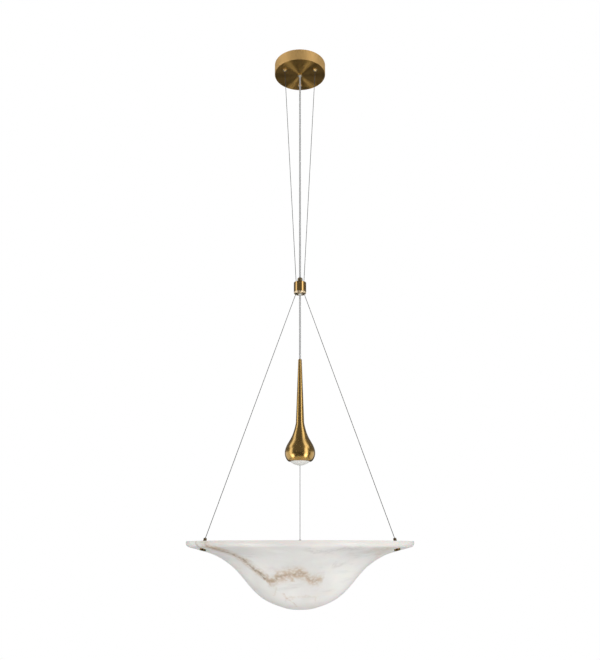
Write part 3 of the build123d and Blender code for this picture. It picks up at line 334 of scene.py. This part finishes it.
for name, (body, top, low) in CABLES.items():
    start, end = Vector((0, 0, top)), Vector((0, 0, low))
    points = (start, (start + end) / 2, end)
    cores, _ = twisted(
        f"{name}_cores",
        points,
        core_white,
        Radius=CORE_DIAMETER,
        Lay=CORE_LAY,
        Strands=2,
        Rings=16,
        Points=14,
    )
    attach(cores, body)
    sheath = line_curve(f"{name}_sheath", points)
    sheath.data.bevel_depth = CABLE_DIAMETER / 2
    sheath.data.bevel_resolution = 8
    sheath.data.use_fill_caps = True
    sheath.data.materials.append(clear_sheath)
    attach(sheath, body)
    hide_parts(name)


def dress(finish, *names):
    """Gives CAD pieces a finish."""
    for name in names:
        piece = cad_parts[name]
        piece.data.materials.clear()
        piece.data.materials.append(finish)


# The stretches inside the canopy and the hub are the same cable.
dress(clear_sheath, "cable_tail", "hub_cable")

# Canopy: a cup spun from brass sheet, brushed while it turns. The lines run round, so the light
# spreads into fans across its flat underside. Its upright wall is made duller, and drawn lighter as
# painted light on the same brass.
CANOPY_BRASS = (0.54, 0.33, 0.10)
CANOPY_DARK = (0.46, 0.275, 0.075)
WALL_RADIUS = 66.0 * mm
# Painted light: a lighter colour for the wall's brass, which is the same metal as the underside.
WALL_PAINTED_LIGHT_BRASS = (0.66, 0.425, 0.16)
WALL_ROUGHNESS = 0.9
WALL_METALLIC = 0.65


def turning_group():
    """Fine lines that run round the vertical axis, and the slow changes along them."""
    tree, given, result = new_tree(
        "turning lines",
        "ShaderNodeTree",
        {"Vector": "NodeSocketVector", "Lines": "NodeSocketFloat"},
        {"Marks": "NodeSocketFloat"},
    )
    x, y, z = parts_of(tree, given[0])
    squares = calc(tree, "ADD", calc(tree, "POWER", x, 2.0), calc(tree, "POWER", y, 2.0))
    radius = calc(tree, "MULTIPLY", calc(tree, "SQRT", squares), given[1])
    height = calc(tree, "MULTIPLY", z, given[1])
    angle = calc(tree, "MULTIPLY", calc(tree, "ARCTAN2", y, x), 2.0)
    place = node(tree, "ShaderNodeCombineXYZ", radius, height, angle)
    tree.links.new(noise(tree, place, scale=1.0, detail=3.0), result[0])
    return tree


turning = turning_group()


def turned_metal(name, light, dark, roughness, anisotropic=0.0, lines=400, lacquer=0.0):
    """Metal with turning lines round the light's upright axis. The gloss spreads across the lines."""
    material, tree, shader = new_material(
        name,
        light,
        roughness,
        metallic=1.0,
        Anisotropic=anisotropic,
        Anisotropic_Rotation=0.25,
        Coat_Weight=lacquer,
        Coat_Roughness=0.12,
    )
    marks = spread(tree, grouped(tree, turning, lines), 0.3, 0.7)
    worn = uneven_mask(tree, scale=30)
    worn_share, marks_share = 0.6, 0.4
    tone = calc(tree, "MULTIPLY_ADD", worn, worn_share, calc(tree, "MULTIPLY", marks, marks_share))
    varied(tree, shader, tone, dark, light, roughness * 0.9, roughness * 1.1)
    around_axis = node(tree, "ShaderNodeTangent", direction_type="RADIAL", axis="Z")
    link(tree, around_axis, shader, "Tangent")
    return material


def paint_wall_lighter(material):
    """Paints the wall lighter, as painted light, and makes it duller beyond the radius where it begins.
    """
    tree = material.node_tree
    shader = tree.nodes["Principled BSDF"]
    level = node(tree, "ShaderNodeVectorMath", own_place(tree), (1.0, 1.0, 0.0), operation="MULTIPLY")
    radius = node(tree, "ShaderNodeVectorMath", level, operation="LENGTH", output=1)
    on_wall = spread(tree, radius, WALL_RADIUS, WALL_RADIUS + 1.0 * mm)
    colour = shader.inputs["Base Color"].links[0].from_socket
    gloss = shader.inputs["Roughness"].links[0].from_socket
    duller = node(tree, "ShaderNodeMix", named={0: on_wall, 2: gloss, 3: WALL_ROUGHNESS})
    # Painted light: the wall's colour is drawn lighter, though the brass is the same as the underside's.
    link(tree, mixed(tree, on_wall, colour, WALL_PAINTED_LIGHT_BRASS), shader, "Base Color")
    link(tree, duller, shader, "Roughness")
    link(tree, spread(tree, on_wall, 0, 1, 1.0, WALL_METALLIC), shader, "Metallic")


canopy_brass = turned_metal(
    "brushed brass", CANOPY_BRASS, CANOPY_DARK, roughness=0.46, anisotropic=0.95, lines=3000
)
paint_wall_lighter(canopy_brass)
dress(canopy_brass, "canopy")

# Grippers and gland: small turned brass fittings that screw through the canopy's underside, with
# their nuts inside it. A plunger slides in each gripper and lets go of the rope when pushed.
FITTING_BRASS = (0.88, 0.74, 0.48)
FITTING_DARK = (0.78, 0.62, 0.36)
fitting_brass = turned_metal("fitting brass", FITTING_BRASS, FITTING_DARK, roughness=0.3)
dress(fitting_brass, "gripper_nuts", "cable_gland", "gland_nut")
for side in ROPE_ANGLES:
    dress(fitting_brass, f"gripper_{side}", f"plunger_{side}")

# Plated steel: the bracket on the ceiling, the screws, the crimps on the rope ends, the springs and
# the lamp's threaded tube are bright zinc. The rope tails and the heat sink are as bright.
ZINC = (0.58, 0.58, 0.57)
ZINC_DARK = (0.44, 0.44, 0.44)
plated = turned_metal("zinc plate", ZINC, ZINC_DARK, roughness=0.3, lines=2500)
dress(plated, "ceiling_bracket", "canopy_screws", "earth_screw", "terminal_screws", "board_screws")
dress(plated, "upper_ferrules", "lower_ferrules", "rope_tails", "lamp_tube", "heat_sink")
for side in ROPE_ANGLES:
    dress(plated, f"plunger_spring_{side}")

# Plunger springs: coil springs of steel wire in the rope grippers. Each shortens as its plunger is
# pushed in. A copy of each stiff piece takes its place on the canopy.
for side in ROPE_ANGLES:
    stiff = f"plunger_spring_{side}"
    low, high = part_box(stiff)
    spring = bpy.data.objects.new(f"{stiff}_coil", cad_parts[stiff].data.copy())
    bpy.context.scene.collection.objects.link(spring)
    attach(spring, "canopy")
    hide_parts(stiff)
    seat = (low + high) / 2
    seat.z = high.z
    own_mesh(spring)

# Driver: two shells of moulded plastic that clip together round the circuit, held up by a pad of
# black foam tape.
DRIVER_WHITE = (0.82, 0.82, 0.82)
DRIVER_DARK = (0.76, 0.76, 0.76)
FOAM = (0.05, 0.05, 0.05)
FOAM_DARK = (0.03, 0.03, 0.03)


def bumped(tree, shader, height, depth):
    """Gives a shader a relief of that depth in metres."""
    bump = node(tree, "ShaderNodeBump", named={"Height": height, "Distance": depth, "Strength": 1.0})
    link(tree, bump, shader, "Normal")


def moulded(name, light, dark, roughness, grain=400, relief=0.01 * mm, **sockets):
    """Moulded or extruded plastic, a little uneven in colour and gloss."""
    material, tree, shader = new_material(name, light, roughness, **sockets)
    marks = uneven_mask(tree, grain)
    varied(tree, shader, marks, dark, light, roughness * 0.8, roughness * 1.2)
    bumped(tree, shader, marks, relief)
    return material


driver_plastic = moulded("driver plastic", DRIVER_WHITE, DRIVER_DARK, roughness=0.5)
dress(driver_plastic, "driver_case", "driver_lid")
dress(moulded("foam tape", FOAM, FOAM_DARK, roughness=0.9), "driver_pad")

# Wires: single cores with extruded insulation, brown and blue to the driver, striped green and
# yellow to the earth screw, and white for the two cores of the cut cable. Each has two colours and
# the scale at which they change.
INSULATIONS = {
    "live_wire": ("brown insulation", (0.14, 0.06, 0.03), (0.10, 0.04, 0.02), 400),
    "neutral_wire": ("blue insulation", (0.02, 0.10, 0.36), (0.02, 0.08, 0.30), 400),
    "earth_wire": ("green insulation", (0.10, 0.30, 0.03), (0.50, 0.45, 0.03), 60),
    "output_cores": ("white insulation", (0.78, 0.78, 0.76), (0.70, 0.70, 0.68), 400),
}
for wire, (name, light, dark, grain) in INSULATIONS.items():
    dress(moulded(name, light, dark, roughness=0.4, grain=grain), wire)

# Nylon pieces: the terminal block, the bushes where the cable goes through metal, the strain relief
# in the hub's neck and the plug in the lamp's top. All are moulded in natural, milky nylon.
NYLON = (0.80, 0.79, 0.74)
NYLON_DARK = (0.72, 0.71, 0.66)
nylon = moulded("natural nylon", NYLON, NYLON_DARK, roughness=0.4, Subsurface_Weight=0.2)
dress(nylon, "top_bush", "cable_bush", "neck_grip", "terminal_block", "lamp_cap")

# Hub: a small turned brass cup, polished and lacquered, with a satin rounded base that closes it
# from below, drawn pale as a painted reflection, and a dull neck that screws into its top and squeezes
# the strain relief.
HUB_BRASS = (0.60, 0.37, 0.12)
HUB_DARK = (0.52, 0.31, 0.095)
# Painted reflection: the base's pale cream colour stands in for the bright reflection on its rounding.
BASE_PAINTED_REFLECTION = (0.88, 0.72, 0.50)
BASE_PAINTED_REFLECTION_DARK = (0.76, 0.60, 0.38)
NECK_BRASS = (0.30, 0.24, 0.15)
NECK_DARK = (0.25, 0.20, 0.12)
hub_brass = turned_metal("hub brass", HUB_BRASS, HUB_DARK, roughness=0.16, anisotropic=0.5, lacquer=0.7)
dress(hub_brass, "hub_body")
dress(turned_metal("satin base brass with painted reflection", BASE_PAINTED_REFLECTION, BASE_PAINTED_REFLECTION_DARK, roughness=0.5, lacquer=0.5), "hub_base")
dress(turned_metal("dull neck brass", NECK_BRASS, NECK_DARK, roughness=0.5), "hub_neck")

# Lamp: a drop of turned brass under a clear lacquer, in two pieces with a joint line between the
# neck and the bell. A brass ring holds the lens in the bell's mouth.
LAMP_BRASS = (0.58, 0.36, 0.10)
LAMP_DARK = (0.51, 0.31, 0.08)
lamp_brass = turned_metal(
    "lamp brass", LAMP_BRASS, LAMP_DARK, roughness=0.24, anisotropic=0.5, lacquer=0.7
)
dress(lamp_brass, "lamp_neck", "lamp_bell", "lens_ring")

# Light source and lens: a white circuit board with a yellow chip, screwed to the heat sink, and a
# milky moulded dome below them.
BOARD_WHITE = (0.80, 0.80, 0.80)
BOARD_DARK = (0.74, 0.74, 0.74)
PHOSPHOR = (0.80, 0.60, 0.10)
PHOSPHOR_DARK = (0.70, 0.50, 0.08)
OPAL = (0.89, 0.89, 0.86)
OPAL_DARK = (0.86, 0.86, 0.83)
dress(moulded("white solder mask", BOARD_WHITE, BOARD_DARK, roughness=0.3), "led_board")
dress(moulded("yellow phosphor", PHOSPHOR, PHOSPHOR_DARK, roughness=0.3), "led_chip")
dress(moulded("opal lens", OPAL, OPAL_DARK, roughness=0.35, relief=0.0005 * mm), "lens")

# Rim fittings: where each lower rope ends, a stud goes through the bowl's flange and is held by a
# nut, both of polished brass drawn near-black as painted shade. A golden washer lies on each side of
# the flange.
# Painted shade: the near-black colour stands in for the dark reflections on the polished brass.
STUD_PAINTED_SHADE = (0.20, 0.13, 0.05)
STUD_PAINTED_SHADE_DARK = (0.13, 0.09, 0.04)
WASHER_GOLD = (0.72, 0.50, 0.20)
WASHER_DARK = (0.60, 0.40, 0.15)
painted_dark_brass = turned_metal("brass painted dark", STUD_PAINTED_SHADE, STUD_PAINTED_SHADE_DARK, roughness=0.16, lines=4000)
dress(painted_dark_brass, "rim_studs", "rim_nuts")
golden = turned_metal("golden washer", WASHER_GOLD, WASHER_DARK, roughness=0.14, lines=4000)
dress(golden, "rim_washers")

# Bowl: moulded in a milky resin with brown and grey veins, satin outside. The veins are drawn over
# the bowl by angle round the axis and depth below the rim, and broken up by a fine speckle.
RIM_Z = -1232.2 * mm
DEPTH_SPAN = 160 * mm
MILKY = (0.868, 0.864, 0.832)
CLOUD_GREY = (0.745, 0.738, 0.712)
WARM_TINT = (0.840, 0.775, 0.690)
VEIN_BROWN = (0.34, 0.265, 0.19)
SMEAR_BROWN = (0.56, 0.44, 0.32)
VEIN_GREY = (0.52, 0.51, 0.49)
GLOSS = (0.30, 0.42)

# Clouds in the resin, and the speckle that breaks up the veins: the noise's scale, and the noise
# where each begins and is full. Between its grains the speckle leaves a share of the vein.
CLOUD_SCALE = 8.0
CLOUD_RANGE = (0.40, 0.64)
SPECKLE_SCALE = 150.0
SPECKLE_RANGE = (0.36, 0.60)
SPECKLE_LEAST = 0.25

# What makes the veins ragged: a coarse and a fine noise, each with its scale and its reach in metres.
RAGGED = ((26.0, 0.022), (120.0, 0.007))

# The flange's lip is painted greyer than the bowl, as painted shade that dims its brighter lit face.
# The grey is full down to one depth and gone at the next.
LIP_PAINTED_SHADE = (0.665, 0.650, 0.610)
LIP_SHADE_SHARE = 0.45
LIP_FULL = 7 * mm
LIP_END = 12 * mm

# Soft wisps: turn in degrees, stretch, scale, the noise where a wisp begins and is full, tint, strength.
WISPS = (
    (14, (1.0, 1.0, 5.0), 11.0, 0.56, 0.74, CLOUD_GREY, 0.75),
    (-24, (1.0, 1.0, 6.0), 17.0, 0.60, 0.74, VEIN_GREY, 0.30),
    (-38, (1.0, 1.0, 4.0), 7.0, 0.60, 0.76, WARM_TINT, 0.80),
)

# Veins that run down the bowl go through points of (mm below the rim, degrees round the axis).
# Their other values are tint, half width and soft edge in degrees, and strength.
MAIN_VEIN = (
    (10, -138.5), (17, -137.6), (22.7, -136.6), (28.5, -134.4), (34.3, -132.4), (44.2, -131.9),
    (52.1, -130.8), (62, -128.6), (69.8, -125.8), (77.6, -121.4),
)
STEEP_VEINS = (
    (MAIN_VEIN, SMEAR_BROWN, 2.0, 6.0, 0.80),
    (MAIN_VEIN, VEIN_BROWN, 0.5, 1.8, 0.90),
    (((0, -148.2), (5, -148.6), (9.1, -147.9), (15, -147.2)), VEIN_BROWN, 0.3, 0.9, 0.8),
    (((0, -140.5), (5.4, -138.2), (9.3, -136.2), (15, -134.8), (20, -134)), SMEAR_BROWN, 1.5, 4.5, 0.75),
    (((3, -139.5), (11, -138.5), (15, -137.4), (19, -136.4)), VEIN_BROWN, 0.2, 1.2, 0.45),
    (((64, -96), (72, -96.8), (81, -96.6)), SMEAR_BROWN, 0.5, 1.8, 0.75),
    (((93, -116), (100, -118), (106, -125)), SMEAR_BROWN, 0.4, 2.5, 0.30),
    (((106, -110), (112.5, -108.4), (124, -101.7), (131, -101.5)), SMEAR_BROWN, 0.4, 2.5, 0.45),
)

# Veins that run round the bowl go through points of (degrees round the axis, mm below the rim).
# Their half width and soft edge are in mm.
SMEAR = (
    (-124, 73), (-121.4, 77.6), (-111, 71), (-102.5, 67.5), (-96.4, 64.5), (-90, 62.7), (-86.7, 65),
    (-83, 71), (-77, 77), (-71.5, 75.2),
)
BACK_VEIN = ((30, 8), (60, 26), (95, 40), (120, 33), (150, 52))
LEVEL_VEINS = (
    (SMEAR, SMEAR_BROWN, 3.0, 15.0, 0.62),
    (SMEAR, SMEAR_BROWN, 3.0, 8.0, 0.80),
    (SMEAR, VEIN_BROWN, 0.3, 4.0, 0.42),
    (((-85, 17), (-77.5, 20.5), (-68, 17), (-61, 14)), VEIN_GREY, 0.8, 4.0, 0.55),
    (((-66, 40), (-62, 46), (-56, 43)), VEIN_GREY, 2.0, 6.0, 0.35),
    (((-51, 16), (-40, 20), (-27, 29)), SMEAR_BROWN, 1.0, 7.0, 0.45),
    (((-112, 118), (-100, 112), (-80, 110), (-64, 121)), SMEAR_BROWN, 0.3, 2.5, 0.25),
    (BACK_VEIN, SMEAR_BROWN, 1.5, 7.0, 0.6),
    (BACK_VEIN, VEIN_BROWN, 0.3, 1.6, 0.7),
)
VEIN_FADE = 0.012


def shifted(tree, place, scale, reach):
    """The place, moved a little to and fro by noise."""
    away = noise(tree, place, scale, detail=4.0, output=1)
    away = node(tree, "ShaderNodeVectorMath", away, (0.5, 0.5, 0.5), operation="SUBTRACT")
    away = node(tree, "ShaderNodeVectorMath", away, operation="SCALE", named={"Scale": reach})
    return node(tree, "ShaderNodeVectorMath", place, away, operation="ADD")


def angle_share(degrees):
    """An angle round the axis as a share of the full turn."""
    return (degrees + 180) / 360


def depth_share(deep):
    """A depth in mm as a share of the span that the veins are drawn over."""
    return deep * mm / DEPTH_SPAN


def vein_mask(tree, along, across, points, width, softness):
    """How much of a vein is at a place. The vein runs through (along, across) shares."""
    bend = tree.nodes.new("ShaderNodeFloatCurve")
    curve = bend.mapping.curves[0]
    for knot, place in zip(curve.points, (points[0], points[-1])):
        knot.location = place
    for place in points[1:-1]:
        curve.points.new(*place)
    bend.mapping.update()
    tree.links.new(along, bend.inputs["Value"])
    away = calc(tree, "ABSOLUTE", calc(tree, "SUBTRACT", across, bend.outputs[0]))
    mask = spread(tree, away, width, width + softness, 1.0, 0.0)
    first, last = points[0][0], points[-1][0]
    begun = spread(tree, along, first - VEIN_FADE, first + VEIN_FADE / 4)
    ended = spread(tree, along, last - VEIN_FADE / 4, last + VEIN_FADE, 1.0, 0.0)
    return calc(tree, "MULTIPLY", mask, calc(tree, "MULTIPLY", begun, ended))


def streaks(tree, place, turn, stretch, scale, low, high):
    """Soft parallel wisps, as the resin was drawn out while it flowed."""
    drawn = node(tree, "ShaderNodeMapping", place, None, (0, math.radians(turn), 0), stretch)
    return spread(tree, noise(tree, drawn, scale, detail=8.0), low, high)


marbled, tree, shader = new_material(
    "marbled resin", MILKY, roughness=0.38, Subsurface_Weight=0.25, Subsurface_Scale=0.010
)
place = own_place(tree)
moved = place
for scale, reach in RAGGED:
    moved = shifted(tree, moved, scale, reach)
x, y, z = parts_of(tree, moved)
angle = calc(tree, "MULTIPLY_ADD", calc(tree, "ARCTAN2", y, x), 1 / math.tau, 0.5)
depth = calc(tree, "MULTIPLY", calc(tree, "SUBTRACT", RIM_Z, z), 1 / DEPTH_SPAN)

clouds = noise(tree, moved, CLOUD_SCALE, detail=8.0)
colour = mixed(tree, spread(tree, clouds, *CLOUD_RANGE), MILKY, CLOUD_GREY)
for turn, stretch, scale, low, high, tint, strength in WISPS:
    amount = calc(tree, "MULTIPLY", streaks(tree, place, turn, stretch, scale, low, high), strength)
    colour = mixed(tree, amount, colour, tint)
speckle = noise(tree, place, SPECKLE_SCALE, detail=6.0)
speckle = spread(tree, speckle, *SPECKLE_RANGE, SPECKLE_LEAST, 1.0)


def veined(colour, mask, tint, strength):
    """The colour with one vein drawn over it, broken up by the speckle."""
    amount = calc(tree, "MULTIPLY", calc(tree, "MULTIPLY", mask, strength), speckle)
    return mixed(tree, amount, colour, tint)


for points, tint, width, softness, strength in STEEP_VEINS:
    route = [(depth_share(deep), angle_share(degrees)) for deep, degrees in points]
    mask = vein_mask(tree, depth, angle, route, width / 360, softness / 360)
    colour = veined(colour, mask, tint, strength)
for points, tint, width, softness, strength in LEVEL_VEINS:
    route = [(angle_share(degrees), depth_share(deep)) for degrees, deep in points]
    mask = vein_mask(tree, angle, depth, route, depth_share(width), depth_share(softness))
    colour = veined(colour, mask, tint, strength)
# Painted shade: grey laid over the lip so that its lit face is no brighter than the bowl below it.
lip_painted_shade = spread(tree, parts_of(tree, place)[2], RIM_Z - LIP_END, RIM_Z - LIP_FULL, 0.0, LIP_SHADE_SHARE)
link(tree, mixed(tree, lip_painted_shade, colour, LIP_PAINTED_SHADE), shader, "Base Color")
link(tree, spread(tree, clouds, 0.3, 0.7, *GLOSS), shader, "Roughness")
dress(marbled, "bowl")

# Studio: a white background and soft light from all sides, with a little more from the right. Shiny
# metal mirrors a dark room instead, which has paler walls above the horizon and tall soft boxes.
ROOM_LEVEL = 0.09
WALL_LEVEL = 0.17
HORIZON = (-0.1, 0.1)
OVERHEAD_LEVEL = 0.12
OVERHEAD = (0.86, 0.95)
SOFT_LEVEL = 0.84

# Soft boxes round the room: degrees to the right of the camera's side, half the width in degrees,
# the lowest and highest z of the directions to it, and its strength.
SOFTBOXES = (
    (50, 11, -0.90, 0.60, 2.1),
    (-74, 11, -0.90, 0.60, 1.6),
    (68, 18, 0.45, 0.98, 1.7),
    (-96, 14, 0.45, 0.98, 1.4),
    (50, 9, -0.90, -0.25, 3.2),
    (-62, 9, -0.90, -0.25, 3.6),
    (112, 25, -0.60, 0.20, 0.8),
    (-115, 25, -0.60, 0.20, 0.8),
)
SIDE_FADE = 5
END_FADE = 0.12
world = bpy.data.worlds.new("studio")
bpy.context.scene.world = world
world.use_nodes = True
tree = world.node_tree
x, y, z = parts_of(tree, node(tree, "ShaderNodeTexCoord"))
level = node(tree, "ShaderNodeCombineXYZ", x, y, 0.0)
level = node(tree, "ShaderNodeVectorMath", level, operation="NORMALIZE")
glow = spread(tree, z, *HORIZON, ROOM_LEVEL, WALL_LEVEL)
glow = calc(tree, "ADD", glow, spread(tree, z, *OVERHEAD, 0.0, OVERHEAD_LEVEL - WALL_LEVEL))
for facing, half_width, low, high, strength in SOFTBOXES:
    middle = around(1, facing - 90, 0)
    towards = node(tree, "ShaderNodeVectorMath", level, tuple(middle), operation="DOT_PRODUCT", output=1)
    wide = math.cos(math.radians(half_width + SIDE_FADE))
    narrow = math.cos(math.radians(half_width - SIDE_FADE))
    mask = spread(tree, towards, wide, narrow)
    mask = calc(tree, "MULTIPLY", mask, spread(tree, z, low, low + END_FADE))
    mask = calc(tree, "MULTIPLY", mask, spread(tree, z, high - END_FADE, high, 1.0, 0.0))
    glow = calc(tree, "MULTIPLY_ADD", mask, strength, glow)
rays = tree.nodes.new("ShaderNodeLightPath").outputs
white = calc(tree, "MAXIMUM", rays["Is Camera Ray"], rays["Is Transmission Ray"])
strength = node(tree, "ShaderNodeMix", named={0: rays["Is Glossy Ray"], 2: SOFT_LEVEL, 3: glow})
strength = node(tree, "ShaderNodeMix", named={0: white, 2: strength, 3: 1.0})
background = tree.nodes["Background"]
tree.links.new(strength, background.inputs["Strength"])
background.inputs["Color"].default_value = (1, 1, 1, 1)
world.cycles.sampling_method = "NONE"

# Studio lights: three square soft boxes that no mirror shows, one on each side in front and a weak
# one from below. All look at the middle of the lower ropes.
LIGHTS_AIM = Vector((0, 0, -0.9))


def soft_light(name, place, size, power):
    """A square soft box of this size in metres and power in watts."""
    data = bpy.data.lights.new(name, "AREA")
    data.energy = power
    data.size = size
    lamp = bpy.data.objects.new(name, data)
    lamp.location = place
    lamp.rotation_euler = (LIGHTS_AIM - Vector(place)).to_track_quat("-Z", "Y").to_euler()
    lamp.visible_glossy = False
    lamp.visible_camera = False
    bpy.context.scene.collection.objects.link(lamp)


soft_light("key light", place=(2.4, -1.8, -1.6), size=1.4, power=20)
soft_light("fill light", place=(-2.6, -1.6, -1.6), size=1.4, power=11)
soft_light("low light", place=(0.1, -0.3, -2.4), size=1.2, power=1.6)

# Floor: a plain pale square, well below the bowl. It glows a little for the camera alone, so that it
# meets the white background, and it keeps the light's soft shadow.
FLOOR_Z = -2.45
FLOOR_REACH = 4.0
FLOOR_PALE = (0.86, 0.86, 0.86)
FLOOR_GLOW = 0.30
floor_data = bpy.data.meshes.new("floor")
corners = [(x * FLOOR_REACH, y * FLOOR_REACH, FLOOR_Z) for x, y in ((-1, -1), (1, -1), (1, 1), (-1, 1))]
floor_data.from_pydata(corners, [], [(0, 1, 2, 3)])
floor = bpy.data.objects.new("floor", floor_data)
bpy.context.scene.collection.objects.link(floor)
floor_paint, tree, shader = new_material("pale floor", FLOOR_PALE, roughness=0.8)
rays = tree.nodes.new("ShaderNodeLightPath").outputs
shader.inputs["Emission Color"].default_value = (1, 1, 1, 1)
link(tree, calc(tree, "MULTIPLY", rays["Is Camera Ray"], FLOOR_GLOW), shader, "Emission Strength")
floor_data.materials.append(floor_paint)
floor.visible_glossy = False
